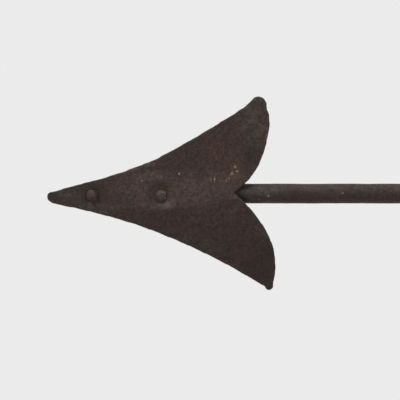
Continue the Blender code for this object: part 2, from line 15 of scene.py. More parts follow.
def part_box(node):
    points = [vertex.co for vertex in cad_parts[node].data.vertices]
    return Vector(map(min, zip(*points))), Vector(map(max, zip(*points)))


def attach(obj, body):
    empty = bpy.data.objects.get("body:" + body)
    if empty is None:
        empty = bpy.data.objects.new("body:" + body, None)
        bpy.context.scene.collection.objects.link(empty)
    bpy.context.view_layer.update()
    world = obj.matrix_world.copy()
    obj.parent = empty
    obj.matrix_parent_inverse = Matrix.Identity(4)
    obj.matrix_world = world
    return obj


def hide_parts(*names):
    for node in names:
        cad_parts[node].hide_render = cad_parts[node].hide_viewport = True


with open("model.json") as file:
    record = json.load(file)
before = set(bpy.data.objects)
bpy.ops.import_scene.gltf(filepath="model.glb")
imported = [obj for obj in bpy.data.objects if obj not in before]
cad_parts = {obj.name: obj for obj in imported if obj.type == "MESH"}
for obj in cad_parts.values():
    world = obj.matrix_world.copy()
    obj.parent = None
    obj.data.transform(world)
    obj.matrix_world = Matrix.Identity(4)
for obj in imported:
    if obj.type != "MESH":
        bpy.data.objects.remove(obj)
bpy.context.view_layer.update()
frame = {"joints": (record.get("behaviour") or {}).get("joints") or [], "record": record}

MM = 0.001
BODY_OF = {node: body for body, nodes in frame["record"]["behaviour"]["bodies"].items() for node in nodes}


def lowest(node):
    return np.array(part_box(node)[0]) / MM


def highest(node):
    return np.array(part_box(node)[1]) / MM


# Places that the frame gives
AXIS_Z = frame["joints"][0]["pos_m"][2] / MM  # centre line of the arrow's shaft
TIP_X = lowest("arrowhead_plate")[0]
TAIL_X = lowest("tail_plate")[0]
TAIL_END_X = highest("arrow_shaft")[0]
HUB_LOW = lowest("hub_tee")[2] - AXIS_Z
HUB_TOP = highest("hub_tee")[2] - AXIS_Z
TEE_HALF = highest("hub_tee")[0]
COLLAR_Z = (lowest("stop_collar")[2] + highest("stop_collar")[2]) / 2
BAND_Z = (lowest("brace_band")[2] + highest("brace_band")[2]) / 2
BAND_HALF = highest("brace_band")[0]
SOCKET_LOW, SOCKET_TOP = lowest("base_socket")[2], highest("base_socket")[2]
BASE_HALF, BASE_THICK = highest("base_plate")[0], highest("base_plate")[2]

# Sizes of the arrow
GAP = 0.3
SHEET = 1.6  # thickness of the sheet iron
SHEET_RIM = 0.6  # rounding of its worn edges
BLADE_HALF = 2.5  # half thickness of the shaft where it is hammered flat
SHAFT_RADIUS = 6.35
RIDGE_START, RIDGE_END = 80.0, 118.0  # where the flattened shaft turns into the round bar
HEAD_RIVETS = ((29.5, -1.4), (74.3, -2.2))  # back from the point, above the centre line
HEAD_RIVET_LIFTS = (0.0, 1.2)  # how far the sheet stands off the shaft there
TAIL_RIVETS = (126.0, 186.0, 246.0)
RIVET_RADIUS = 2.4
HEAD_DOMES = ((2.7, 4.0, 0.2), (1.7, 4.3, -1.25))  # height and radius of each head, and how deep it sits
TAIL_DOME = (2.3, 4.1, 0.0)
PEEN_HEIGHT, PEEN_RADIUS = 1.8, 3.9  # the hammered end behind

# The formed arrowhead
RIDGE_TOP = 15.0  # the sheet leans back from its crease up to this height
RIDGE_LEAN = 0.20
CREASE_Z, CREASE_RISE = -9.6, 8.8  # height of the crease, and how far it rises to the notch
CREASE_TURN = (97.0, 124.0)  # where it rises
LOWER_BEND, LOWER_SWEEP, LOWER_REACH = 0.12, 3.6, 53.0
UPPER_BEND, UPPER_SWEEP, UPPER_REACH = 0.015, 2.2, 50.0
DIMPLE = (3.0, 11.5)  # where the seat hammered round a rivet ends, and the dimple round it

# Sizes of the hub, the mast and the base
SLEEVE_RADIUS = 12.5
SLEEVE_BORE = 6.5
BEAD = 2.5
TEE_RADIUS = 11.0
TEE_SCREW_X = 17.4
BORE_TOP = 12.0
BUSH_RADIUS, BUSH_BORE, BUSH_FLANGE, BUSH_DEPTH = 9.0, 6.4, 2.4, 18.0
TENON, TENON_RADIUS = 8.0, 4.0
KEEPER_DEPTH = 58.0
BALL_RADIUS = 5.0
MAST_RADIUS = 8.0
MAST_SHOULDER = 101.0
SPINDLE_RADIUS, GROOVE_RADIUS = 6.0, 4.7
COLLAR_RADIUS = 15.5
SOCKET_RADIUS, SOCKET_FLANGE = 14.0, 23.0
SOCKET_SCREW_Z = 50.0
BASE_CORNER = 12.0
BASE_HOLE_RADIUS, BASE_HOLE_AT = 4.5, 74.0
BRACE_WIDTH, BRACE_THICK = 16.0, 4.0
BRACE_FOOT, BRACE_BEND, BRACE_RIVET_AT = 85.0, 64.0, 75.0
BRACE_STEM_Z, BRACE_CURL_Z = -18.0, 16.0  # where the stem starts and the curl's centre, from the band's
BRACE_CURL, CURL_TIGHTENS, CURL_TURN = 9.0, 2.6, 1.45 * math.pi
SCREW_RADIUS = 2.5
QUARTERS = {"right": 0.0, "back": math.pi / 2, "left": math.pi, "front": -math.pi / 2}
FRONT = (0, -1, 0)

# The camera looks along +Y at a point measured from the arrow's point and its centre line
AIM_BACK = 99.8
AIM_ABOVE = -4.2
VIEW_WIDTH = 262.0
CAMERA_DISTANCE = 1200.0
SENSOR = 36.0

# The one soft light: the direction it comes from, its width in degrees, and its strength
KEY_FROM = (-0.40, -0.25, 0.88)
KEY_WIDTH = 32.0
KEY_STRENGTH = 2.8

FLOOR_RADIUS, FLOOR_CLEARS = 2600.0, (1100.0, 2500.0)  # the floor's size, and where it clears away
FLOOR_COLOUR = (0.51, 0.507, 0.507, 1.0)
BACKDROP = (0.838, 0.832, 0.832, 1.0)


# ---- lines and profiles ----


def smooth_step(low, high, value):
    t = np.clip((value - low) / (high - low), 0.0, 1.0)
    return t * t * (3 - 2 * t)


def arc(start, via, end, spacing):
    """Points after start on the circle through three points, up to and with end."""
    (ax, ay), (bx, by), (cx, cy) = start, via, end
    d = 2 * (ax * (by - cy) + bx * (cy - ay) + cx * (ay - by))
    a2, b2, c2 = ax * ax + ay * ay, bx * bx + by * by, cx * cx + cy * cy
    ux = (a2 * (by - cy) + b2 * (cy - ay) + c2 * (ay - by)) / d
    uy = (a2 * (cx - bx) + b2 * (ax - cx) + c2 * (bx - ax)) / d
    radius = math.hypot(ax - ux, ay - uy)
    first, middle, last = (math.atan2(y - uy, x - ux) for x, y in (start, via, end))
    turn = 2 * math.pi
    sweep = (last - first) % turn
    if (middle - first) % turn > sweep:
        sweep -= turn
    steps = max(2, round(abs(sweep) * radius / spacing))
    angles = (first + sweep * k / steps for k in range(1, steps + 1))
    return [(ux + radius * math.cos(a), uy + radius * math.sin(a)) for a in angles]


def path(start, *moves, spacing=1.0):
    """Points along straight moves, given as a point, and arcs, given as (via, end)."""
    points = [start]
    for move in moves:
        if isinstance(move[0], tuple):
            points += arc(points[-1], *move, spacing)
        else:
            points.append(move)
    return points


def eased(points, radius=0.5, spacing=1.6):
    """A profile with its sharp corners rounded and its long straight stretches divided."""
    points = [Vector(p) for p in points]
    rounded = [points[0]]
    for before, corner, after in zip(points, points[1:], points[2:]):
        first, second = before - corner, after - corner
        if first.length < 1e-6 or second.length < 1e-6 or (-first).angle(second) < math.radians(25):
            rounded.append(corner)
            continue
        cut = min(radius, 0.45 * first.length, 0.45 * second.length)
        start, end = corner + first.normalized() * cut, corner + second.normalized() * cut
        rounded += [start, start.lerp(corner, 0.5).lerp(end.lerp(corner, 0.5), 0.5), end]
    rounded.append(points[-1])
    divided = [rounded[0]]
    for before, after in zip(rounded, rounded[1:]):
        steps = max(1, math.ceil((after - before).length / spacing))
        divided += [before.lerp(after, k / steps) for k in range(1, steps + 1)]
    return [tuple(p) for p in divided]


def circle(radius, centre=(0.0, 0.0), sides=24):
    angles = 2 * math.pi * np.arange(sides) / sides
    return np.stack([centre[0] + radius * np.cos(angles), centre[1] + radius * np.sin(angles)], 1)


# Outlines of the two sheets, back from the sheet's front end and above the shaft's centre line
HEAD_LINES = (
    (1.9, -5.1),
    ((0.0, -2.2), (3.4, 1.0)),  # blunt point
    ((18.0, 5.1), (34.0, 9.25)),  # upper leading edge
    ((53.0, 15.4), (71.7, 22.7)),
    ((100.0, 38.6), (128.4, 56.2)),
    (132.2, 59.8),
    (135.3, 62.7),
    ((139.9, 63.1), (143.2, 57.4)),  # upper barb tip
    (143.6, 54.8),  # nick
    (144.85, 52.2),
    ((144.95, 43.5), (142.3, 30.8)),
    ((138.3, 19.2), (131.3, 9.0)),  # trailing edge down to the notch
    (121.9, 0.2),
    ((133.4, -10.9), (145.0, -28.3)),
    ((149.1, -45.5), (147.6, -59.8)),
    ((145.9, -63.2), (142.4, -61.1)),  # lower barb tip
    ((102.0, -38.45), (61.8, -21.4)),  # lower leading edge
    ((30.0, -12.15), (4.3, -6.6)),
    ((2.9, -6.0), (1.9, -5.1)),
)
TAIL_LINES = (
    (2.5, -9.0),
    ((0.0, 0.0), (2.5, 9.0)),  # rounded front
    ((60.0, 25.0), (118.0, 58.0)),  # upper leading edge, hollow and then full
    ((154.0, 77.9), (194.0, 87.0)),
    ((203.5, 86.0), (207.5, 77.0)),  # upper tip
    ((203.0, 40.0), (164.0, 0.0)),  # trailing edge down to the notch
    ((203.0, -40.0), (207.5, -77.0)),
    ((203.5, -86.0), (194.0, -87.0)),
    ((154.0, -77.9), (118.0, -58.0)),
    ((60.0, -25.0), (2.5, -9.0)),
)


# ---- shapes: (vertices, faces) pairs ----


def swept(rings):
    """A closed solid through rings of points, with a fan over each end."""
    rings = [np.asarray(r, float) for r in rings]
    count = len(rings[0])
    vertices = np.vstack([*rings, rings[0].mean(0), rings[-1].mean(0)])
    first_end, last_end = len(vertices) - 2, len(vertices) - 1
    last = (len(rings) - 1) * count
    faces = []
    for j in range(count):
        n = (j + 1) % count
        for a in range(0, last, count):
            b = a + count
            faces.append([a + j, a + n, b + n, b + j])
        faces.append([first_end, n, j])
        faces.append([last_end, last + j, last + n])
    return vertices, faces


def level_rings(profile, sides):
    """A level ring of points about Z for each (radius, height)."""
    return [np.insert(circle(radius, sides=sides), 2, height, axis=1) for radius, height in profile]


def turned(profile, sides=64):
    """A body of revolution about Z from (radius, height) points that start and end on the axis."""
    vertices, faces = swept(level_rings([p for p in profile if p[0] > 1e-6], sides))
    vertices[-2] = (0.0, 0.0, profile[0][1])
    vertices[-1] = (0.0, 0.0, profile[-1][1])
    return vertices, faces


def turned_ring(profile, sides=64):
    """A ring about Z from a closed loop of (radius, height) points."""
    rings = level_rings(profile, sides)
    count = len(rings)
    faces = []
    for k in range(count):
        a, b = k * sides, (k + 1) % count * sides
        for j in range(sides):
            n = (j + 1) % sides
            faces.append([a + j, a + n, b + n, b + j])
    return np.vstack(rings), faces


def moved(shape, location=(0, 0, 0), rotation=None):
    """The shape turned by a matrix and then moved."""
    vertices, faces = shape
    if rotation is not None:
        vertices = vertices @ np.array(rotation.to_3x3()).T
    return vertices + np.array(location, float), faces


def facing(direction):
    """The rotation that turns +Z to a direction."""
    return Vector(direction).to_track_quat("Z", "Y").to_matrix()


def outward(angle):
    """The level direction at this angle from +X."""
    return (math.cos(angle), math.sin(angle), 0)


def squarish(half_u, half_v, power, sides=48):
    """The two coordinates of a ring that is an ellipse at power 2 and nearly a rectangle at a high one."""
    angles = 2 * math.pi * (np.arange(sides) + 0.5) / sides
    c, s = np.cos(angles), np.sin(angles)
    return half_u * np.sign(c) * np.abs(c) ** (2 / power), half_v * np.sign(s) * np.abs(s) ** (2 / power)


def outward_of(ring):
    """Unit vectors that point away from a counter-clockwise ring's inside."""
    along = np.roll(ring, -1, 0) - np.roll(ring, 1, 0)
    out = np.stack([along[:, 1], -along[:, 0]], 1)
    return out / np.linalg.norm(out, axis=1)[:, None]


def area_of(ring):
    x, y = ring.T
    return 0.5 * np.sum(x * np.roll(y, -1) - np.roll(x, -1) * y)


def filled(rings, holes, spacing):
    """Even triangles between rings: their 2-D points, the faces, and where each ring point went."""
    low, high = rings[0].min(0), rings[0].max(0)
    grid = []
    for k, v in enumerate(np.arange(low[1], high[1], spacing * math.sqrt(0.75))):
        grid += [(u, v) for u in np.arange(low[0] + spacing / 2 * (k % 2), high[0], spacing)]
    edge = np.vstack(rings)
    near = np.array([np.min(np.hypot(*(edge - p).T)) for p in np.array(grid)])
    grid = np.array(grid)[near > spacing * 0.6]
    points = [Vector(p) for p in np.vstack([edge, grid])]
    edges, start = [], 0
    for ring in rings:
        edges += [(start + k, start + (k + 1) % len(ring)) for k in range(len(ring))]
        start += len(ring)
    out, _, faces, origins, _, _ = geometry.delaunay_2d_cdt(points, edges, [], 1, 1e-5)
    out = np.array(out)
    for centre, radius in holes:
        middles = out[np.array(faces)].mean(1)
        inside = np.hypot(*(middles - np.array(centre)).T) < radius
        faces = [f for f, gone in zip(faces, inside) if not gone]
    used = sorted({v for f in faces for v in f})
    renumber = {old: new for new, old in enumerate(used)}
    where = {o: renumber[k] for k, sources in enumerate(origins) if k in renumber for o in sources}
    ring_places, start = [], 0
    for ring in rings:
        ring_places.append([where[start + k] for k in range(len(ring))])
        start += len(ring)
    return out[used], [[renumber[v] for v in f] for f in faces], ring_places


def plate(outline, holes, middle, thick, rim, spacing):
    """A plate of even thickness round w = middle(u, v), with rounded edges and round holes."""
    outline = outline if area_of(outline) > 0 else outline[::-1]
    rings, outs = [outline], [outward_of(outline)]
    for centre, radius in holes:
        ring = circle(radius, centre)[::-1]
        rings.append(ring)
        outs.append(outward_of(ring))
    insets = [r - o * rim for r, o in zip(rings, outs)]
    grown = [(centre, radius + rim) for centre, radius in holes]
    flat, faces, places = filled(insets, grown, spacing)
    levels = middle(flat[:, 0], flat[:, 1])
    vertices = [np.column_stack([flat, levels + thick / 2]), np.column_stack([flat, levels - thick / 2])]
    count = len(flat)
    solid = [list(f) for f in faces] + [[v + count for v in f[::-1]] for f in faces]
    total = 2 * count
    half = thick / 2
    steps = [math.pi / 8 * k for k in range(1, 5)]
    turns = [(rim * (1 - math.sin(a)), half - rim * (1 - math.cos(a))) for a in steps]
    turns += [(inset, -side) for inset, side in turns[::-1]]
    for ring, out, place in zip(rings, outs, places):
        size = len(ring)
        rows = [place]
        for inset, side in turns:
            edge = ring - out * inset
            vertices.append(np.column_stack([edge, middle(edge[:, 0], edge[:, 1]) + side]))
            rows.append(list(range(total, total + size)))
            total += size
        rows.append([v + count for v in place])
        for upper, lower in zip(rows, rows[1:]):
            for k in range(size):
                n = (k + 1) % size
                solid.append([upper[k], lower[k], lower[n], upper[n]])
    return np.vstack(vertices), solid


def raw_object(name, shape):
    """A plain mesh object from a shape."""
    mesh = bpy.data.meshes.new(name)
    mesh.from_pydata((shape[0] * MM).tolist(), [], shape[1])
    obj = bpy.data.objects.new(name, mesh)
    bpy.context.scene.collection.objects.link(obj)
    return obj


def coordinates(mesh, layer="co"):
    values = np.empty(len(mesh.vertices) * 3)
    mesh.vertices.foreach_get(layer, values)
    return values.reshape(-1, 3)


def carved(shape, joined=(), cuts=(), voxel=0.6, rounds=4):
    """One shape from several: some joined on and some cut away, with all its edges softened."""
    obj = raw_object("carved", shape)
    helpers = []
    for operation, others in (("UNION", joined), ("DIFFERENCE", cuts)):
        for other in others:
            helper = raw_object("helper", other)
            helpers.append(helper)
            modifier = obj.modifiers.new(operation, "BOOLEAN")
            modifier.object = helper
            modifier.operation = operation
    remesh = obj.modifiers.new("even faces", "REMESH")
    remesh.mode = "VOXEL"
    remesh.voxel_size = voxel * MM
    soften = obj.modifiers.new("softened edges", "SMOOTH")
    soften.factor = 0.5
    soften.iterations = rounds
    graph = bpy.context.evaluated_depsgraph_get()
    mesh = bpy.data.meshes.new_from_object(obj.evaluated_get(graph))
    vertices = coordinates(mesh) / MM
    faces = [list(p.vertices) for p in mesh.polygons]
    bpy.data.meshes.remove(mesh)
    for helper in [obj, *helpers]:
        bpy.data.objects.remove(helper)
    return vertices, faces


# ---- finished pieces ----


def ripple(points, size, seed):
    """Smooth noise between about -1 and 1 at each point, with lumps of this size."""
    shift = Vector((seed * 17.3, seed * 5.9, seed * 11.1))
    return np.array([noise.noise(Vector(p) / size + shift) for p in points])


def wear(mesh):
    """How sharply each vertex stands out of the surface round it, 1 / mm, negative in a hollow."""
    count = len(mesh.vertices)
    points, normals = coordinates(mesh) / MM, coordinates(mesh, "normal")
    ends = np.empty(len(mesh.edges) * 2, int)
    mesh.edges.foreach_get("vertices", ends)
    a, b = ends.reshape(-1, 2).T
    along = points[a] - points[b]
    squared = np.maximum((along**2).sum(1), 1e-9)
    total, number = np.zeros(count), np.zeros(count)
    for end, sign in ((a, 1.0), (b, -1.0)):
        np.add.at(total, end, sign * (along * normals[end]).sum(1) / squared)
        np.add.at(number, end, 1)
    bend = total / number
    for _ in range(2):
        spread, number = bend.copy(), np.ones(count)
        for end, other in ((a, b), (b, a)):
            np.add.at(spread, end, bend[other])
            np.add.at(number, end, 1)
        bend = spread / number
    return bend


def piece(name, shape, material, *nodes, lumps=((9.0, 0.12), (2.8, 0.06)), seed=0, shrink=0.1, rim=None):
    """The finished piece that stands for CAD nodes: uneven as from hammer and rust, smooth, and coloured."""
    obj = raw_object(name, shape)
    mesh = obj.data
    mesh.shade_smooth()
    points, normals = coordinates(mesh) / MM, coordinates(mesh, "normal")
    offset = np.full(len(points), -float(shrink))
    for k, (size, height) in enumerate(lumps):
        offset += height * ripple(points, size, seed + 3 * k + 1)
    points += normals * offset[:, None]
    mesh.vertices.foreach_set("co", (points * MM).ravel())
    mesh.update()
    mesh.attributes.new("worn", "FLOAT", "POINT").data.foreach_set("value", wear(mesh))
    if rim is not None:
        mesh.attributes.new("rim", "FLOAT", "POINT").data.foreach_set("value", rim)
    mesh.materials.append(material)
    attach(obj, BODY_OF[nodes[0]])
    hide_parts(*nodes)
    return obj


# ---- the arrow ----


def dent(x, z, centre, radius):
    """1 at the centre of a round dent, falling smoothly to 0 beyond its radius."""
    return np.exp(-((x - centre[0]) ** 2 + (z - centre[1]) ** 2) / (radius * radius))


def past(value, roundness=1.6):
    """value where it is above 0 and 0 below it, with a soft bend between."""
    return (value + np.sqrt(value * value + roundness * roundness)) / 2


def head_crease(x):
    """Height of the crease under the ridge: level at first, and rising to the notch."""
    return CREASE_Z + CREASE_RISE * smooth_step(*CREASE_TURN, x)


def head_middle(x, z):
    """How far the arrowhead's middle surface stands in front of the shaft's centre plane.

    From a sharp crease the sheet leans back upwards over the bar, and the lower barb is bent back below it.
    """
    flat = BLADE_HALF + GAP + SHEET / 2 + 0.15
    crease = head_crease(x)
    below = past(crease - z, 0.5 + 3.0 * smooth_step(97.0, 116.0, x))
    lean = RIDGE_LEAN * smooth_step(24.0, 72.0, x) + 0.05 * smooth_step(97.0, 122.0, x)
    ridge = lean * (past(RIDGE_TOP - z, 3.0) - below)
    lower_bend = LOWER_BEND * below + LOWER_SWEEP * (below / LOWER_REACH) ** 2
    lower_bend = smooth_step(22.0, 46.0, x) * lower_bend
    above = past(z - RIDGE_TOP, 3.0)
    upper_bend = UPPER_BEND * above + UPPER_SWEEP * (above / UPPER_REACH) ** 2
    lip = 0.8 * smooth_step(108.0, 122.0, x) * np.exp(-((z / 12.0) ** 2))
    swell = 0.6 * np.exp(-(((x - 69.0) / 15.0) ** 2) - ((z - 8.5) / 4.5) ** 2)
    swell = swell + 0.30 * np.exp(-(((x - 74.5) / 7.0) ** 2) - ((z + 8.4) / 2.4) ** 2)
    depth = flat + ridge - lower_bend - upper_bend + lip + swell
    for centre, lift in zip(HEAD_RIVETS, HEAD_RIVET_LIFTS):
        away = np.hypot(x - centre[0], z - centre[1])
        seat = flat + 1.2 * lift - 0.08 * lift * (z - centre[1])
        depth += (seat - depth) * (1 - smooth_step(*DIMPLE, away))
    places = np.stack([x, 0 * x, z], 1)
    hammered = 0.14 * ripple(places, 14.0, 3) + 0.07 * ripple(places, 6.0, 4)
    return depth + hammered


def tail_middle(x, z):
    """How far the tail's middle surface stands in front: flat on the blade and bowed back to its edges."""
    places = np.stack([x, 0 * x, z], 1)
    hammered = 0.30 * ripple(places, 19.0, 7) + 0.10 * ripple(places, 7.0, 8)
    bowed = 3.0 * (np.maximum(np.abs(z) - 12.0, 0.0) / 76.0) ** 2
    drawn_in = sum(0.25 * dent(x, z, (at - TAIL_X, 0.0), 7.0) for at in TAIL_RIVETS)
    return BLADE_HALF + GAP + SHEET / 2 + 0.15 - bowed - drawn_in + hammered


def hand_cut(lines, spacing, seed, grow=0.1, facet=13.5, facet_depth=0.32):
    """A closed outline as a chisel leaves it: short straight cuts that don't quite meet, a little wavy."""
    points = path(*lines, spacing=spacing)
    ring = np.array(points[:-1] if math.dist(points[0], points[-1]) < spacing / 2 else points)
    ring = ring if area_of(ring) > 0 else ring[::-1]
    steps = np.linalg.norm(np.roll(ring, -1, 0) - ring, axis=1)
    along = np.concatenate([[0.0], np.cumsum(steps)[:-1]])
    places = np.insert(ring, 1, 0.0, axis=1)
    along = along + 5.0 * ripple(places, 31.0, seed)
    share = (along / facet) % 1.0
    cuts = facet_depth * (share - 0.5) * (1 - smooth_step(0.86, 1.0, share))
    wavy = 0.14 * ripple(places, 7.0, seed + 1) + 0.09 * ripple(places, 2.4, seed + 2)
    return ring + outward_of(ring) * (grow + wavy + cuts)[:, None]


def near_edge(shape, outline, reach=3.2):
    """For each vertex of a sheet, 1 at its outline, falling to 0 at this reach inside it."""
    away = np.array([np.min(np.hypot(*(outline - p).T)) for p in shape[0][:, :2]])
    return np.clip(1 - away / reach, 0.0, 1.0)


def upright(shape, start_x):
    """A plate's (u, v, w) shape stood in the XZ plane, its front to -Y."""
    vertices, faces = shape
    u, v, w = vertices.T
    x = np.clip(u + start_x, TIP_X + 0.15, highest("tail_plate")[0] - 0.15)
    return np.stack([x, -w, v + AXIS_Z], 1), faces


def sheet(name, node, material, outline, holes, middle, start_x, spacing, lump, seed):
    """A formed sheet with its rivet holes, stood up and finished."""
    shape = plate(outline, [(at, RIVET_RADIUS + GAP) for at in holes], middle, SHEET, SHEET_RIM, spacing)
    rim = near_edge(shape, outline)
    shape = upright(shape, start_x)
    piece(name, shape, material, node, lumps=((lump, 0.05),), seed=seed, shrink=0, rim=rim)


def sheets(head_iron, tail_iron):
    outline = hand_cut(HEAD_LINES, 0.8, 21)
    sheet("arrowhead", "arrowhead_plate", head_iron, outline, HEAD_RIVETS, head_middle, TIP_X, 0.95, 2.2, 61)
    outline = hand_cut(TAIL_LINES, 1.2, 31)
    holes = [(x - TAIL_X, 0.0) for x in TAIL_RIVETS]
    sheet("tail", "tail_plate", tail_iron, outline, holes, tail_middle, TAIL_X, 1.5, 3.0, 65)


def shaft_ring(x):
    """The shaft's section at x: round bar in the middle, a blade under the head and the tail."""
    back = x - TIP_X
    full = SHAFT_RADIUS - BLADE_HALF
    if back < RIDGE_END:
        rise = full * smooth_step(RIDGE_START, RIDGE_END, back)
        half_height = 1.8 + 7.7 * smooth_step(0.0, RIDGE_START * 0.8, back)
    else:
        rise = full * (1 - smooth_step(TAIL_X - 34.0, TAIL_X + 2.0, x))
        half_height = 9.5 - 4.0 * smooth_step(TAIL_END_X - 25.0, TAIL_END_X, x)
    share = rise / full
    half_height += (SHAFT_RADIUS - half_height) * share
    half_thick = BLADE_HALF * (0.55 + 0.45 * smooth_step(0.0, 20.0, back)) + rise
    drop = 1.6 * (1 - smooth_step(0.0, RIDGE_END, back))
    ends = min(back - 5.0, TAIL_END_X - x) + 0.4
    blunt = math.sqrt(min(ends / 2.4, 1.0) * (2 - min(ends / 2.4, 1.0)))
    y, z = squarish(half_thick * blunt, half_height * (0.4 + 0.6 * blunt), 5.0 - 3.0 * share)
    return np.stack([np.full(len(y), x), y, z - drop + AXIS_Z], 1)


def arrow_shaft(iron):
    ends = (0.0, 0.3, 0.8)
    stations = np.concatenate([
        TIP_X + 5.0 + np.array(ends),
        np.arange(TIP_X + 6.4, TAIL_END_X - 1.2, 1.3),
        TAIL_END_X - np.array(ends[::-1]),
    ])
    shape = swept([shaft_ring(x) for x in stations])
    piece("shaft", shape, iron, "arrow_shaft", lumps=((12.0, 0.12), (3.2, 0.07)), seed=11, shrink=-0.12)


def rivet_shape(head_height, head_radius, seat, steps=14):
    """A rivet along Z: a hammered dome on a shank, and a peened end."""
    front = BLADE_HALF + GAP + SHEET + 0.15 - seat
    behind = -(BLADE_HALF + GAP)
    profile = [(0.0, behind - PEEN_HEIGHT)]
    for k in range(1, steps):
        angle = math.pi / 2 * k / steps
        profile.append((PEEN_RADIUS * math.sin(angle), behind - PEEN_HEIGHT * math.cos(angle)))
    profile += [(PEEN_RADIUS, behind), (RIVET_RADIUS, behind)]
    profile += [(RIVET_RADIUS, front), (head_radius * 0.97, front)]
    for k in range(steps + 1):
        angle = math.pi / 2 * k / steps
        profile.append((head_radius * math.cos(angle) ** 0.85, front + head_height * math.sin(angle)))
    return turned(eased(profile, 0.3, 0.9), 40)


def rivets(iron):
    """The two rivets of the arrowhead and the three of the tail."""
    places = []
    for end, (back, above), dome in zip(("front", "rear"), HEAD_RIVETS, HEAD_DOMES):
        places.append((f"head_rivet_{end}", TIP_X + back, above, dome))
    for end, x in zip(("front", "middle", "rear"), TAIL_RIVETS):
        places.append((f"tail_rivet_{end}", x, 0.0, TAIL_DOME))
    lumps = ((3.4, 0.34), (1.3, 0.12))
    for k, (node, x, above, dome) in enumerate(places):
        shape = moved(rivet_shape(*dome), (x, 0, AXIS_Z + above), facing(FRONT))
        piece(f"domed_{node}", shape, iron, node, lumps=lumps, seed=41 + 7 * k, shrink=0)


# ---- the hub ----


def rod(radius, low, high, sides=48):
    return turned(eased([(0, low), (radius, low), (radius, high), (0, high)], 0.2, 40.0), sides)


def screw(node, seat, direction, reach, iron, seed):
    """A forged square-headed screw: its head stands on the seat, and its point is at the reach below."""
    shank = ((-reach, 1.2, 2.0), (0.8 - reach, SCREW_RADIUS, 2.0), (-0.05, SCREW_RADIUS, 2.0))
    head = ((0.0, 3.3, 6.0), (0.35, 3.9, 7.0), (1.2, 4.0, 7.0), (2.6, 4.0, 7.0), (3.7, 3.95, 7.0))
    crown = ((4.15, 3.6, 6.0), (4.35, 2.8, 4.0), (4.45, 1.4, 2.6))
    rings = []
    for height, half, power in (*shank, *head, *crown):
        u, v = squarish(half, half, power)
        rings.append(np.stack([u, v, np.full(len(u), height)], 1))
    shape = moved(swept(rings), seat, facing(direction))
    piece(f"forged_{node}", shape, iron, node, lumps=((3.0, 0.12), (1.2, 0.05)), seed=seed, shrink=0.03)


def hub_tee(iron):
    """The forged tee: an upright sleeve over the spindle, and a cross sleeve that grips the shaft."""
    bead = SLEEVE_RADIUS + BEAD
    sleeve = path(
        (0, HUB_LOW),
        (bead - 0.8, HUB_LOW),
        ((bead, HUB_LOW + 3.5), (bead - 0.8, HUB_LOW + 7)),
        (SLEEVE_RADIUS, HUB_LOW + 8),
        (SLEEVE_RADIUS, -34),
        ((bead - 0.4, -29.5), (SLEEVE_RADIUS, -25)),
        (SLEEVE_RADIUS, HUB_TOP - 4),
        ((SLEEVE_RADIUS - 0.4, HUB_TOP - 1.6), (SLEEVE_RADIUS - 1.5, HUB_TOP)),
        (0, HUB_TOP),
        spacing=0.7,
    )
    end_bead = TEE_RADIUS + BEAD - 0.8
    cross = path(
        (0, -TEE_HALF),
        (end_bead - 1, -TEE_HALF),
        ((end_bead, -TEE_HALF + 2.5), (TEE_RADIUS, -TEE_HALF + 5.5)),
        (TEE_RADIUS, TEE_HALF - 5.5),
        ((end_bead, TEE_HALF - 2.5), (end_bead - 1, TEE_HALF)),
        (0, TEE_HALF),
        spacing=0.7,
    )
    along_x = facing((1, 0, 0))
    hole = SCREW_RADIUS + GAP
    cuts = [
        moved(rod(SHAFT_RADIUS + GAP, -TEE_HALF - 5, TEE_HALF + 5), rotation=along_x),
        rod(SLEEVE_BORE, HUB_LOW - 5, -BORE_TOP),
        rod(BUSH_RADIUS + GAP, HUB_LOW - 5, HUB_LOW + BUSH_DEPTH),
        rod(TENON_RADIUS + GAP, HUB_TOP - TENON - 2 * GAP, HUB_TOP + 5),
        moved(rod(hole, 0, 14), (0, -SLEEVE_BORE / 2, -KEEPER_DEPTH), facing(FRONT)),
    ]
    cuts += [moved(rod(hole, SHAFT_RADIUS - 1, 20), (x, 0, 0)) for x in (-TEE_SCREW_X, TEE_SCREW_X)]
    shape = carved(turned(sleeve), [moved(turned(cross), rotation=along_x)], cuts, voxel=0.55, rounds=5)
    piece("hub", moved(shape, (0, 0, AXIS_Z)), iron, "hub_tee", lumps=((11.0, 0.16), (3.0, 0.07)), seed=71)
    seat = TEE_RADIUS + GAP
    for k, (end, x) in enumerate((("front", -TEE_SCREW_X), ("rear", TEE_SCREW_X))):
        reach = seat - SHAFT_RADIUS - GAP
        screw(f"shaft_screw_{end}", (x, 0, AXIS_Z + seat), (0, 0, 1), reach, iron, 81 + k)
    seat = SLEEVE_RADIUS + GAP
    place = (0, -seat, AXIS_Z - KEEPER_DEPTH)
    screw("keeper_screw", place, FRONT, seat - GROOVE_RADIUS - 0.5, iron, 84)


def hub_bush(bronze):
    seat = AXIS_Z + HUB_LOW - GAP
    top = seat + BUSH_DEPTH - 1.0
    flange = SLEEVE_RADIUS + 0.5
    corners = [(BUSH_BORE, seat - BUSH_FLANGE), (flange, seat - BUSH_FLANGE), (flange, seat)]
    corners += [(BUSH_RADIUS, seat), (BUSH_RADIUS, top), (BUSH_BORE, top)]
    closed = eased([*corners, corners[0]], 0.4, 1.2)[:-1]
    piece("bush", turned_ring(closed, 72), bronze, "hub_bush", lumps=((6.0, 0.03),), seed=91, shrink=0.02)


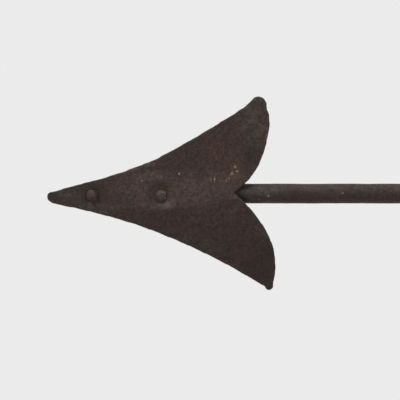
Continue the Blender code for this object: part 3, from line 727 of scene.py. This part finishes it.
def finial(iron):
    """A turned ball and spire, whose tenon is driven into the top of the hub."""
    top = AXIS_Z + HUB_TOP + GAP
    tip = highest("finial")[2] - 0.1
    profile = path(
        (0, top - TENON),
        (TENON_RADIUS, top - TENON),
        (TENON_RADIUS, top),
        (10.2, top),
        ((10.9, top + 1.5), (10.2, top + 3)),
        ((6.2, top + 5), (4.8, top + 9.5)),  # cove under the ball
        ((11.0, top + 21), (4.2, top + 33)),
        ((5.8, top + 36), (3.8, top + 39)),  # bead above the ball
        ((1.9, top + 54), (0.35, tip - 0.5)),
        ((0.25, tip - 0.15), (0, tip)),
        spacing=0.8,
    )
    shape = turned(eased(profile, 0.4, 1.2), 64)
    piece("spire", shape, iron, "finial", lumps=((9.0, 0.10), (2.6, 0.05)), seed=95, shrink=0.05)


def thrust_ball(steel):
    centre = AXIS_Z - BORE_TOP - GAP - BALL_RADIUS
    profile = path((0, -BALL_RADIUS), ((BALL_RADIUS, 0), (0, BALL_RADIUS)), spacing=0.4)
    shape = moved(turned(profile, 48), (0, 0, centre))
    piece("ball", shape, steel, "thrust_ball", lumps=(), shrink=0.02)


# ---- the stand ----


def mast(iron):
    """Round bar with a turned spindle: a shoulder, a groove for the keeper screw and a cupped tip."""
    foot = SOCKET_LOW
    rim = AXIS_Z - BORE_TOP - GAP - 2 * BALL_RADIUS + 1.0
    cup = 1.0 + GAP
    groove = AXIS_Z - KEEPER_DEPTH
    shoulder = AXIS_Z - MAST_SHOULDER
    profile = path(
        (0, foot),
        (MAST_RADIUS - 1, foot),
        (MAST_RADIUS, foot + 1.5),
        (MAST_RADIUS, shoulder - 1.5),
        (MAST_RADIUS - 1.5, shoulder),
        (SPINDLE_RADIUS, shoulder),
        (SPINDLE_RADIUS, groove - 4),
        (GROOVE_RADIUS, groove - 3),
        (GROOVE_RADIUS, groove + 3),
        (SPINDLE_RADIUS, groove + 4),
        (SPINDLE_RADIUS, rim - 1),
        (SPINDLE_RADIUS - 1, rim),
        (3.4, rim),
        ((1.75, rim - cup * 0.76), (0, rim - cup)),
        spacing=0.5,
    )
    vertices, faces = turned(eased(profile, 0.4, 1.3), 56)
    x, y, z = vertices.T
    hammered = 0.22 * ripple(vertices, 13.0, 101) * (z < shoulder - 2.0)
    radius = np.maximum(np.hypot(x, y), 1e-6)
    vertices = vertices + np.stack([x, y, 0 * z], 1) / radius[:, None] * (hammered - 0.1)[:, None]
    piece("mast_bar", (vertices, faces), iron, "mast", lumps=((3.0, 0.06),), seed=103, shrink=0.0)


def stop_collar(iron):
    inner = MAST_RADIUS + GAP
    profile = path(
        (inner, -8),
        (inner + 4, -8),
        ((COLLAR_RADIUS, 0), (inner + 4, 8)),
        (inner, 8),
        spacing=0.7,
    )
    hole = moved(rod(SCREW_RADIUS + GAP, 5, 20), rotation=facing(FRONT))
    shape = carved(turned_ring(profile, 72), cuts=[hole], voxel=0.45)
    shape = moved(shape, (0, 0, COLLAR_Z))
    piece("collar", shape, iron, "stop_collar", lumps=((8.0, 0.12), (2.6, 0.06)), seed=111)
    seat = COLLAR_RADIUS + GAP
    screw("stop_collar_screw", (0, -seat, COLLAR_Z), FRONT, seat - inner, iron, 115)


def brace_band(iron):
    """The square band round the mast that the braces are screwed to."""
    half_height = highest("brace_band")[2] - BAND_Z
    square = [(0, -half_height), (BAND_HALF, -half_height), (BAND_HALF, half_height), (0, half_height)]
    sides = 96
    angles = 2 * math.pi * (np.arange(sides) + 0.5) / sides
    c, s = np.cos(angles), np.sin(angles)
    reach = (np.abs(c) ** 14 + np.abs(s) ** 14) ** (-1 / 14)  # nearly a square
    rings = []
    for radius, height in eased(square, 1.0, 1.2)[1:-1]:
        rings.append(np.stack([radius * reach * c, radius * reach * s, np.full(sides, height)], 1))
    cuts = [rod(MAST_RADIUS + GAP, -30, 30)]
    for angle in QUARTERS.values():
        cuts.append(moved(rod(SCREW_RADIUS + GAP, 6, 30), rotation=facing(outward(angle))))
    shape = carved(swept(rings), cuts=cuts, voxel=0.5)
    shape = moved(shape, (0, 0, BAND_Z))
    piece("band", shape, iron, "brace_band", lumps=((9.0, 0.14), (2.8, 0.07)), seed=121)


def brace_line():
    """The middle line of a brace as (distance from the mast, height): foot, sweep, stem and curl."""
    foot_z = BASE_THICK + GAP + BRACE_THICK / 2
    stem_r = BAND_HALF + GAP + BRACE_THICK / 2
    rise = BAND_Z + BRACE_STEM_Z - foot_z
    points = [(BRACE_FOOT, foot_z), (BRACE_BEND, foot_z)]
    for step in range(1, 61):
        angle = math.pi / 2 * step / 60
        reach = BRACE_BEND - (BRACE_BEND - stem_r) * math.sin(angle)
        points.append((reach, foot_z + rise * (1 - math.cos(angle))))
    curl_r, curl_z = stem_r + BRACE_CURL, BAND_Z + BRACE_CURL_Z
    for step in range(49):
        angle = math.pi - CURL_TURN * step / 48
        radius = BRACE_CURL - CURL_TIGHTENS * step / 48
        points.append((curl_r + radius * math.cos(angle), curl_z + radius * math.sin(angle)))
    return points


def brace_shape():
    """A flat bar swept along the brace's line, its edges rounded, its foot and its curl's end rounded off."""
    line = [Vector(p) for p in eased(brace_line(), 0.01, 1.5)]
    lengths = [0.0]
    for before, after in zip(line, line[1:]):
        lengths.append(lengths[-1] + (after - before).length)
    half, thick = BRACE_WIDTH / 2, BRACE_THICK / 2
    corners = [(half, 0), (half, thick), (-half, thick), (-half, -thick), (half, -thick), (half, 0)]
    section = np.array(eased(corners, 1.0, 1.4)[:-1])
    rings = []
    for k, point in enumerate(line):
        ahead = line[min(k + 1, len(line) - 1)] - line[max(k - 1, 0)]
        side = Vector((-ahead.y, ahead.x)).normalized()
        left = min(lengths[k] + 0.15, lengths[-1] - lengths[k] + 0.15, half * 0.8) / (half * 0.8)
        width = math.sqrt(left * (2 - left))
        slim = min(1.0, 0.55 + 0.45 * min(lengths[k], lengths[-1] - lengths[k]) / 1.2)
        ring = [(point.x + side.x * w * slim, v * width, point.y + side.y * w * slim) for v, w in section]
        rings.append(ring)
    return swept(rings)


def braces(iron):
    """Four braces, each with a rivet through its foot and a screw into the band."""
    seat = BAND_HALF + GAP + BRACE_THICK + GAP
    low = BASE_THICK + BRACE_THICK + 2 * GAP
    dome = path((4.6, low), ((4.6 * math.sqrt(0.5), low + 2.8 * math.sqrt(0.5)), (0, low + 2.8)), spacing=0.4)
    profile = [(0, 0.5), (RIVET_RADIUS, 0.5), (RIVET_RADIUS, low), *dome]
    for k, (side, angle) in enumerate(QUARTERS.items()):
        spin = Matrix.Rotation(angle, 3, "Z")
        shape = moved(brace_shape(), rotation=spin)
        lumps = ((14.0, 0.30), (3.0, 0.07))
        piece(f"curled_brace_{side}", shape, iron, f"brace_{side}", lumps=lumps, seed=131 + 9 * k)
        foot = spin @ Vector((BRACE_RIVET_AT, 0, 0))
        shape = moved(turned(eased(profile, 0.3, 1.0), 40), foot)
        lumps, seed = ((3.4, 0.30), (1.3, 0.10)), 171 + 5 * k
        piece(f"foot_rivet_{side}", shape, iron, f"brace_foot_rivet_{side}", lumps=lumps, seed=seed, shrink=0)
        place = spin @ Vector((seat, 0, BAND_Z))
        screw(f"brace_screw_{side}", place, outward(angle), seat - MAST_RADIUS - 2 * GAP, iron, 191 + k)


def base_plate(iron):
    """The square plate, with a hole in each corner and one for each brace's rivet."""
    flat = BASE_HALF - BASE_CORNER
    diagonal = flat + BASE_CORNER * math.sqrt(0.5)
    corner = ((diagonal, diagonal), (flat, BASE_HALF), (-flat, BASE_HALF))
    lines = [(BASE_HALF, flat)]
    for quarter in range(4):
        spin = Matrix.Rotation(quarter * math.pi / 2, 2)
        via, end, next_corner = (tuple(spin @ Vector(p)) for p in corner)
        lines += [(via, end), next_corner]
    outline = np.array(eased(path(*lines, spacing=1.6), 0.01, 2.0)[:-1])
    places = np.insert(outline, 2, 0.0, axis=1)
    outline = outline - outward_of(outline) * (0.35 + 0.25 * ripple(places, 16.0, 201))[:, None]
    sides = (-BASE_HOLE_AT, BASE_HOLE_AT)
    holes = [((x, y), BASE_HOLE_RADIUS) for x in sides for y in sides]
    for angle in QUARTERS.values():
        centre = (BRACE_RIVET_AT * math.cos(angle), BRACE_RIVET_AT * math.sin(angle))
        holes.append((centre, RIVET_RADIUS + GAP))

    def middle(u, v):
        return BASE_THICK / 2 + 0 * u

    shape = plate(outline, holes, middle, BASE_THICK - 0.3, 1.1, 2.0)
    lumps = ((17.0, 0.10), (4.0, 0.05))
    piece("base", shape, iron, "base_plate", lumps=lumps, seed=205, shrink=0.0)


def base_socket(iron):
    """The flanged socket, whose two screws grip the foot of the mast."""
    low, top = SOCKET_LOW, SOCKET_TOP
    inner = MAST_RADIUS + GAP
    profile = path(
        (inner, low),
        (SOCKET_FLANGE, low),
        (SOCKET_FLANGE, low + 4),
        ((SOCKET_FLANGE - 0.6, low + 5.2), (SOCKET_FLANGE - 2, low + 5.7)),
        ((SOCKET_RADIUS + 1.8, low + 7.6), (SOCKET_RADIUS, low + 13)),
        (SOCKET_RADIUS, top - 6),
        ((SOCKET_RADIUS + 1.8, top - 3), (SOCKET_RADIUS, top)),
        (inner, top),
        spacing=0.8,
    )
    seat = SOCKET_RADIUS + GAP
    cuts = []
    for k, (side, angle) in enumerate((("front", -0.75 * math.pi), ("back", 0.25 * math.pi))):
        out, level = np.array(outward(angle)), np.array((0, 0, SOCKET_SCREW_Z))
        cuts.append(moved(rod(SCREW_RADIUS + GAP, 5, 25), level, facing(out)))
        screw(f"socket_screw_{side}", out * seat + level, out, seat - inner, iron, 211 + k)
    shape = carved(turned_ring(profile, 80), cuts=cuts, voxel=0.6)
    piece("socket", shape, iron, "base_socket", lumps=((11.0, 0.14), (3.0, 0.07)), seed=215)


# ---- materials ----


class Shader:
    """A material's node tree: each method adds nodes and returns their output."""

    def __init__(self, name, metallic=0.0, specular=0.5):
        self.material = bpy.data.materials.new(name)
        self.material.use_nodes = True
        self.tree = self.material.node_tree
        self.surface = self.tree.nodes["Principled BSDF"]
        self.surface.inputs["Metallic"].default_value = metallic
        self.surface.inputs["Specular IOR Level"].default_value = specular
        self.places = self.add("ShaderNodeTexCoord").outputs["Object"]

    def add(self, kind, inputs=None, **settings):
        """A new node with these settings; inputs are values or other nodes' outputs, by name or number."""
        node = self.tree.nodes.new(kind)
        for key, value in settings.items():
            setattr(node, key, value)
        for key, value in (inputs or {}).items():
            self.put(node.inputs[key], value)
        return node

    def put(self, socket, value):
        if isinstance(value, bpy.types.NodeSocket):
            self.tree.links.new(value, socket)
        else:
            socket.default_value = value

    def noise(self, size, detail=2.0, rough=0.5, warp=0.0, seed=0.0, tall=1.0):
        """Noise from 0 to 1 with lumps of this size in millimetres, and tall times as high."""
        start, scale = (seed, seed * 0.37, seed * 0.71), (1.0, 1.0, 1 / tall)
        place = self.add("ShaderNodeMapping", {"Vector": self.places, "Location": start, "Scale": scale})
        lumps = {"Scale": 1 / (size * MM), "Detail": detail, "Roughness": rough, "Distortion": warp}
        return self.add("ShaderNodeTexNoise", {"Vector": place.outputs["Vector"], **lumps}).outputs["Fac"]

    def attribute(self, name):
        return self.add("ShaderNodeAttribute", attribute_name=name).outputs["Fac"]

    def math(self, operation, first, second=0.0):
        return self.add("ShaderNodeMath", {0: first, 1: second}, operation=operation).outputs["Value"]

    def between(self, value, low, high, to_low=0.0, to_high=1.0):
        """value taken smoothly from the range low..high to the range to_low..to_high."""
        ranges = {"From Min": low, "From Max": high, "To Min": to_low, "To Max": to_high}
        node = self.add("ShaderNodeMapRange", {"Value": value, **ranges}, interpolation_type="SMOOTHSTEP")
        return node.outputs["Result"]

    def mix(self, share, first, second, blend="MIX"):
        first, second = ((*c, 1.0) if isinstance(c, tuple) else c for c in (first, second))
        inputs = {"Factor": share, 6: first, 7: second}
        return self.add("ShaderNodeMix", inputs, data_type="RGBA", blend_type=blend).outputs[2]

    def shaded(self, colour, factor):
        """The colour times a grey factor."""
        grey = self.add("ShaderNodeCombineColor", dict.fromkeys(("Red", "Green", "Blue"), factor))
        return self.mix(1.0, colour, grey.outputs["Color"], "MULTIPLY")

    def patch(self, centre, size, ragged=0.5):
        """1 in the middle of an uneven oval patch in the row frame, falling to 0 at its edge."""
        inputs = {"Vector": self.places, "Location": Vector(centre) * MM, "Scale": Vector(size) * MM}
        place = self.add("ShaderNodeMapping", inputs, vector_type="TEXTURE").outputs["Vector"]
        ball = self.add("ShaderNodeTexGradient", {"Vector": place}, gradient_type="SPHERICAL").outputs["Fac"]
        uneven = self.math("MULTIPLY", self.noise(min(size) * 0.7, 2.0, 0.6, seed=size[0]), ragged)
        return self.between(self.math("SUBTRACT", ball, uneven), -0.3 * ragged, 0.5)

    def bump(self, height, distance, below=None):
        node = self.add("ShaderNodeBump", {"Strength": 1.0, "Distance": distance * MM, "Height": height})
        if below is not None:
            self.put(node.inputs["Normal"], below)
        return node.outputs["Normal"]

    def finish(self, colour, roughness, normal):
        for name, value in (("Base Color", colour), ("Roughness", roughness), ("Normal", normal)):
            self.put(self.surface.inputs[name], value)
        return self.material


# Patina colours
BROWN = (0.0315, 0.0197, 0.0172)
RED_BROWN = (0.0352, 0.0200, 0.0175)
GREY_GREEN = (0.0300, 0.0247, 0.0200)
DARK = (0.013, 0.009, 0.007)
# lighter iron of rubbed spots, also used as a painted highlight
RUBBED_AND_HIGHLIGHT = (0.085, 0.066, 0.054)
RIM = (0.0310, 0.0275, 0.0215)
RUST = (0.066, 0.034, 0.020)
PALE_IRON = (0.058, 0.047, 0.041)
OCHRE = (0.19, 0.135, 0.095)
FAINT_OCHRE = (0.100, 0.070, 0.052)
CHALK = (0.20, 0.165, 0.14)
FAINT_CHALK = (0.150, 0.118, 0.105)
GREY_GREEN_STAIN = (0.036, 0.033, 0.026)
PALE_EDGE = (0.068, 0.050, 0.044)
GREY_STAIN = (0.040, 0.036, 0.029)
OCHRE_STAIN = (0.060, 0.037, 0.019)
PALE_GREY_STAIN = (0.046, 0.037, 0.031)
DARK_STAIN = (0.025, 0.016, 0.0138)
BROWN_STAIN = (0.043, 0.0275, 0.0245)
OLIVE_STAIN = (0.040, 0.031, 0.018)


def old_iron(name, patches=(), dots=(), specular=0.16, rust=0.0):
    """Old iron: brown patina with redder and greyer patches, grain, pits, and rubbed high spots.

    patches are (centre, size, colour, share) and dots (centre, size, colour), in the row frame.
    rust is the share of orange-brown blooms, which run down the surface.
    """
    s = Shader(name, specular=specular)
    broad = s.noise(31.0, 3.0, 0.55, 0.5, seed=0.3)
    middling = s.noise(8.5, 3.0, 0.6, 0.4, seed=1.7)
    grain = s.noise(2.6, 2.0, 0.6, 0.2, seed=2.9)
    fine = s.noise(1.3, 2.0, 0.6, seed=4.1)
    pits = s.noise(4.2, 2.0, 0.6, 0.3, seed=5.3)
    colour = s.mix(s.between(broad, 0.40, 0.60), BROWN, RED_BROWN)
    colour = s.mix(s.between(middling, 0.52, 0.72, 0.0, 0.5), colour, GREY_GREEN)
    rim, share = s.between(s.attribute("rim"), 0.1, 0.8), s.between(middling, 0.3, 0.6, 0.15, 0.7)
    colour = s.mix(s.math("MULTIPLY", rim, share), colour, RIM)
    if rust:
        blooms = s.noise(15.0, 4.0, 0.6, 0.8, seed=6.7, tall=2.4)
        colour = s.mix(s.between(blooms, 0.50, 0.68, 0.0, rust), colour, RUST)
        bare = s.noise(11.0, 3.0, 0.6, 0.5, seed=8.3)
        colour = s.mix(s.between(bare, 0.54, 0.70, 0.0, 0.5 * rust), colour, PALE_IRON)
    for centre, size, tint, share in patches:
        speckled = s.math("MULTIPLY", s.patch(centre, size), s.between(grain, 0.35, 0.65, 0.4 * share, share))
        colour = s.mix(speckled, colour, tint)
    colour = s.shaded(colour, s.between(grain, 0.25, 0.75, 0.78, 1.24))
    colour = s.shaded(colour, s.between(fine, 0.25, 0.75, 0.76, 1.24))
    colour = s.mix(s.between(pits, 0.64, 0.76, 0.0, 0.6), colour, DARK)
    worn = s.attribute("worn")
    rubbed = s.math("MULTIPLY", s.between(worn, 0.08, 0.5), s.between(grain, 0.3, 0.7, 0.3, 1.0))
    colour = s.mix(s.math("MULTIPLY", rubbed, 0.6), colour, RUBBED_AND_HIGHLIGHT)
    colour = s.mix(s.between(worn, -0.10, -0.60, 0.0, 0.6), colour, DARK)
    for centre, size, tint in dots:
        colour = s.mix(s.patch(centre, size, 0.9), colour, tint)
    roughness = s.between(middling, 0.3, 0.7, 0.48, 0.70)
    relief = s.bump(pits, -0.30)
    relief = s.bump(grain, 0.34, relief)
    relief = s.bump(fine, 0.28, relief)
    return s.finish(colour, roughness, relief)


def on_head(back, above):
    """A place on the arrowhead's front, back from its point and above the shaft's centre line."""
    front = head_middle(np.array([float(back)]), np.array([float(above)]))[0] + SHEET / 2
    return (TIP_X + back, -front, AXIS_Z + above)


def on_tail(back, above):
    """A place on the tail's front, back from its rounded front end and above the shaft's centre line."""
    return (TAIL_X + back, -4.0, AXIS_Z + above)


def patches_from(place, rows, deep=30.0):
    """Patches from rows of (back, above, width, height, colour, share)."""
    patches = []
    for back, above, wide, tall, tint, share in rows:
        patches.append((place(back, above), (wide, deep, tall), tint, share))
    return patches


def sheet_iron():
    """The arrowhead's patina, with stain patches and specks, and painted highlights and shadows in some of
    them.
    """
    stains_and_painted_light = (
        (16.5, -2.6, 12, 6, GREY_GREEN_STAIN, 0.9),  # grey-green point
        (8, 1.2, 6, 3, (0.036, 0.032, 0.022), 0.7),
        (54, 16.2, 9, 3.6, PALE_EDGE, 0.7),  # rubbed upper edge
        (65, 19.8, 9, 4, PALE_EDGE, 0.7),
        (129, 57.5, 6, 4, RUBBED_AND_HIGHLIGHT, 0.6),
        (137, 62, 6, 3, RUBBED_AND_HIGHLIGHT, 0.6),
        (143.4, 37, 2.6, 9, (0.075, 0.050, 0.032), 0.6),
        (69, 11.5, 15, 5.5, (0.056, 0.036, 0.032), 0.7),  # painted highlight on the hammered arc over the rear rivet, where it faces up
        (94, 8, 13, 9, (0.060, 0.0345, 0.0318), 0.7),
        (75.8, -6.8, 6.5, 4.0, (0.062, 0.049, 0.043), 0.4),  # painted highlight on the lip under it, where the dimple faces up
        (68, -8, 10, 5, (0.052, 0.0345, 0.031), 0.7),
        (121.0, -2.0, 7, 3.4, RUBBED_AND_HIGHLIGHT, 0.35),  # painted highlight on the notch's lower lip, which faces up
        (121, -10, 13, 8, (0.046, 0.0300, 0.0268), 0.6),
        (139, 57, 9, 8, (0.040, 0.030, 0.019), 0.7),  # olive upper tip
        (108, -13, 24, 11, BROWN_STAIN, 0.7),
        (91, -29, 6, 7, (0.040, 0.032, 0.025), 0.5),
        (27.5, 5.4, 9.5, 3.8, (0.024, 0.018, 0.009), 0.9),  # olive over the front rivet, and darker round it
        (29.5, -1.5, 13, 10, (0.017, 0.012, 0.010), 0.6),
        (29.6, -2.4, 8.8, 8, DARK, 0.9),  # darker round the rivets: painted shadow round their domed heads, with grime
        (73.6, -2.6, 7.6, 6.8, DARK, 0.5),
        (29, -8.0, 11, 4.2, GREY_STAIN, 0.9),  # grey lower edge
        (38.5, -11.2, 12, 4.2, GREY_STAIN, 0.9),
        (88, 1, 50, 13, (0.048, 0.0283, 0.0260), 0.8),  # pinkish ridge
        (79.5, 3.0, 10.5, 4.4, (0.040, 0.029, 0.017), 0.8),  # olive over the rear rivet
        (55, 6, 22, 11, (0.047, 0.030, 0.0265), 0.6),
        (114, 19, 22, 18, (0.0455, 0.0243, 0.0195), 0.7),  # rusty upper barb
        (110, 30, 8, 6, (0.052, 0.027, 0.020), 0.4),
        (123.3, 16, 6, 9, OCHRE_STAIN, 0.5),  # ochre round the specks
        (111, 9, 10, 5, (0.056, 0.036, 0.021), 0.2),
        (133, 27, 7, 12, (0.020, 0.014, 0.011), 0.8),  # dark trailing edge
        (138, 14, 6, 9, (0.022, 0.017, 0.014), 0.6),
        (135, 43, 16, 18, PALE_GREY_STAIN, 0.7),  # grey upper tip
        (109, -34, 17, 9, (0.032, 0.0265, 0.0190), 0.8),
        (78.5, -23.5, 8, 5, (0.033, 0.027, 0.017), 0.6),
        (139.5, -25, 7, 9, OLIVE_STAIN, 0.8),
        (142, -44, 24, 22, DARK_STAIN, 0.9),  # dark lower tip
    )
    specks = []
    for back, above, size, tall, tint in (
        (122.7, 17.4, 1.7, 1.7, OCHRE),
        (123.9, 14.6, 1.6, 1.2, OCHRE),
        (120.7, 13.2, 1.4, 1.5, OCHRE),
        (119.6, 12.1, 1.0, 1.2, FAINT_OCHRE),
        (117.0, 8.6, 1.1, 2.8, FAINT_OCHRE),
        (118.6, 10.0, 0.9, 1.8, FAINT_OCHRE),
        (109.3, 9.4, 1.0, 2.6, OCHRE),
        (106.9, 9.0, 1.0, 2.2, FAINT_OCHRE),
    ):
        specks.append((on_head(back, above), (size, 1.5, tall), tint))
    specks.append((on_head(86.2, 12.9), (1.2, 1.5, 1.2), CHALK))
    specks.append((on_head(61.8, 8.3), (1.1, 1.5, 1.0), FAINT_CHALK))
    return old_iron("sheet_iron", patches_from(on_head, stains_and_painted_light), specks)


def tail_iron():
    """The same patina on the tail, with stain patches of its own, and painted shadow round its rivets."""
    stains_and_painted_light = [
        (150, 60, 34, 20, PALE_GREY_STAIN, 0.7),  # grey upper lobe
        (120, 30, 34, 22, (0.045, 0.0250, 0.0190), 0.8),  # rust across the middle
        (168, 22, 14, 10, OCHRE_STAIN, 0.5),
        (70, 2, 62, 15, (0.048, 0.0290, 0.0262), 0.8),  # pinkish over the shaft
        (186, -62, 24, 24, DARK_STAIN, 0.9),  # dark lower lobe
        (140, -52, 24, 12, OLIVE_STAIN, 0.7),
        (104, -30, 20, 12, BROWN_STAIN, 0.8),
        (183, 86, 20, 3.6, RUBBED_AND_HIGHLIGHT, 0.7),  # rubbed edges
        (92, 43, 13, 6, RUBBED_AND_HIGHLIGHT, 0.6),
        (204, -74, 4, 14, RUBBED_AND_HIGHLIGHT, 0.6),
        (165.5, 1, 6, 5, RUBBED_AND_HIGHLIGHT, 0.7),
        (8, 2, 8, 12, GREY_GREEN_STAIN, 0.8),
    ]
    # darker round each rivet: painted shadow round its head, with grime
    for x in TAIL_RIVETS:
        stains_and_painted_light.append((x - TAIL_X + 0.5, -0.8, 8.5, 8.0, DARK, 0.8))
    specks = []
    spots = ((160, 36, 1.6), (163.5, 33, 1.2), (171, 44, 1.4), (128, 14, 1.3), (97, -12, 1.1))
    for back, above, size in spots:
        specks.append((on_tail(back, above), (size, 2.5, size), OCHRE))
    return old_iron("tail_iron", patches_from(on_tail, stains_and_painted_light), specks)


def wrought_iron():
    """The bars' and forgings' patina, a little greener, with chalky specks along the shaft."""
    dots = []
    for back, above, size in ((144.4, -1.6, 1.6), (138.4, -4.0, 0.7), (192.8, 0.4, 1.2)):
        dots.append(((TIP_X + back, -6.0, AXIS_Z + above), (size, 9.0, size), FAINT_CHALK))
    greener = ((-150.0, 0.0, AXIS_Z), (240.0, 60.0, 60.0), (0.0288, 0.0203, 0.0170), 0.8)
    pink = (on_head(*HEAD_RIVETS[0]), (5.0, 12.0, 5.0), (0.046, 0.0252, 0.0265), 0.9)
    # painted highlight on the rear rivet's top, partly rubbed wear
    rivet_highlight = (on_head(75.8, -0.6), (5.5, 12.0, 5.0), (0.080, 0.062, 0.054), 0.9)
    # painted shadow of the arrowhead's notch and ridge on the shaft, with grime
    notch_shadow_and_dirt = []
    for back, above, size, tall in ((122.0, 0.2, 9.0, 8.0), (126.5, -4.4, 8.0, 6.0), (129.0, 4.8, 10.0, 3.2)):
        notch_shadow_and_dirt.append(((TIP_X + back, -6.0, AXIS_Z + above), (size, 14.0, tall), (0.009, 0.0085, 0.006), 0.9))
    # painted highlight along the shaft behind the notch
    shaft_highlight = ((TIP_X + 141, -6.0, AXIS_Z + 1.5), (24.0, 12.0, 4.0), (0.043, 0.038, 0.034), 0.7)
    redder = ((TIP_X + 238, -6.0, AXIS_Z), (34.0, 30.0, 12.0), (0.042, 0.0215, 0.0190), 0.7)
    patches = (greener, shaft_highlight, redder, pink, rivet_highlight, *notch_shadow_and_dirt)
    return old_iron("wrought_iron", patches, dots, specular=0.19, rust=0.55)


def bronze_bush():
    """Dull bearing bronze with a brown film."""
    s = Shader("bronze", metallic=1.0)
    film = s.noise(6.0, 3.0, 0.6, 0.5, seed=0.9)
    grain = s.noise(0.8, 2.0, 0.6, seed=3.3)
    colour = s.mix(s.between(film, 0.35, 0.65), (0.30, 0.17, 0.07), (0.12, 0.075, 0.04))
    return s.finish(colour, s.between(grain, 0.3, 0.7, 0.38, 0.60), s.bump(grain, 0.05))


def bearing_steel():
    """Polished steel under a film of grease."""
    s = Shader("bearing_steel", metallic=1.0)
    film = s.noise(2.5, 2.0, 0.5, seed=1.1)
    colour = s.mix(film, (0.50, 0.50, 0.51), (0.36, 0.34, 0.31))
    return s.finish(colour, s.between(film, 0.3, 0.7, 0.12, 0.34), s.bump(film, 0.01))


def pale_floor():
    """Matt pale floor that clears away towards its rim, so that no edge shows against the backdrop."""
    s = Shader("pale_floor", specular=0.1)
    s.surface.inputs["Base Color"].default_value = FLOOR_COLOUR
    s.surface.inputs["Roughness"].default_value = 0.9
    away = s.add("ShaderNodeVectorMath", {0: s.places}, operation="LENGTH")
    solid = s.between(away.outputs["Value"], *(r * MM for r in FLOOR_CLEARS), 1.0, 0.0)
    s.put(s.surface.inputs["Alpha"], solid)
    return s.material


# ---- the scene ----


def floor():
    """A large pale disc under the base."""
    disc = level_rings([(FLOOR_RADIUS, -0.4)], 128)[0]
    obj = raw_object("floor", (disc, [list(range(len(disc)))]))
    obj.data.materials.append(pale_floor())


def studio():
    """A plain pale surround, and one large soft light nearly overhead."""
    world = bpy.data.worlds.new("studio")
    bpy.context.scene.world = world
    world.use_nodes = True
    background = world.node_tree.nodes["Background"]
    background.inputs["Color"].default_value = BACKDROP
    background.inputs["Strength"].default_value = 1.0
    light = bpy.data.lights.new("overhead", "SUN")
    light.angle = math.radians(KEY_WIDTH)
    light.energy = KEY_STRENGTH
    obj = bpy.data.objects.new("overhead", light)
    obj.rotation_euler = Vector(KEY_FROM).to_track_quat("Z", "Y").to_euler()
    bpy.context.scene.collection.objects.link(obj)


def camera():
    data = bpy.data.cameras.new("camera")
    data.sensor_width = SENSOR
    data.lens = SENSOR * CAMERA_DISTANCE / VIEW_WIDTH
    data.clip_end = 50.0
    obj = bpy.data.objects.new("camera", data)
    obj.location = ((TIP_X + AIM_BACK) * MM, -CAMERA_DISTANCE * MM, (AXIS_Z + AIM_ABOVE) * MM)
    obj.rotation_euler = (math.pi / 2, 0.0, 0.0)
    bpy.context.scene.collection.objects.link(obj)
    bpy.context.scene.camera = obj
    bpy.context.scene.view_settings.view_transform = "Standard"


def main():
    camera()
    studio()
    floor()
    iron = wrought_iron()
    sheets(sheet_iron(), tail_iron())
    for part in (arrow_shaft, rivets, hub_tee, finial):
        part(iron)
    for part in (mast, stop_collar, brace_band, braces, base_plate, base_socket):
        part(iron)
    hub_bush(bronze_bush())
    thrust_ball(bearing_steel())


main()
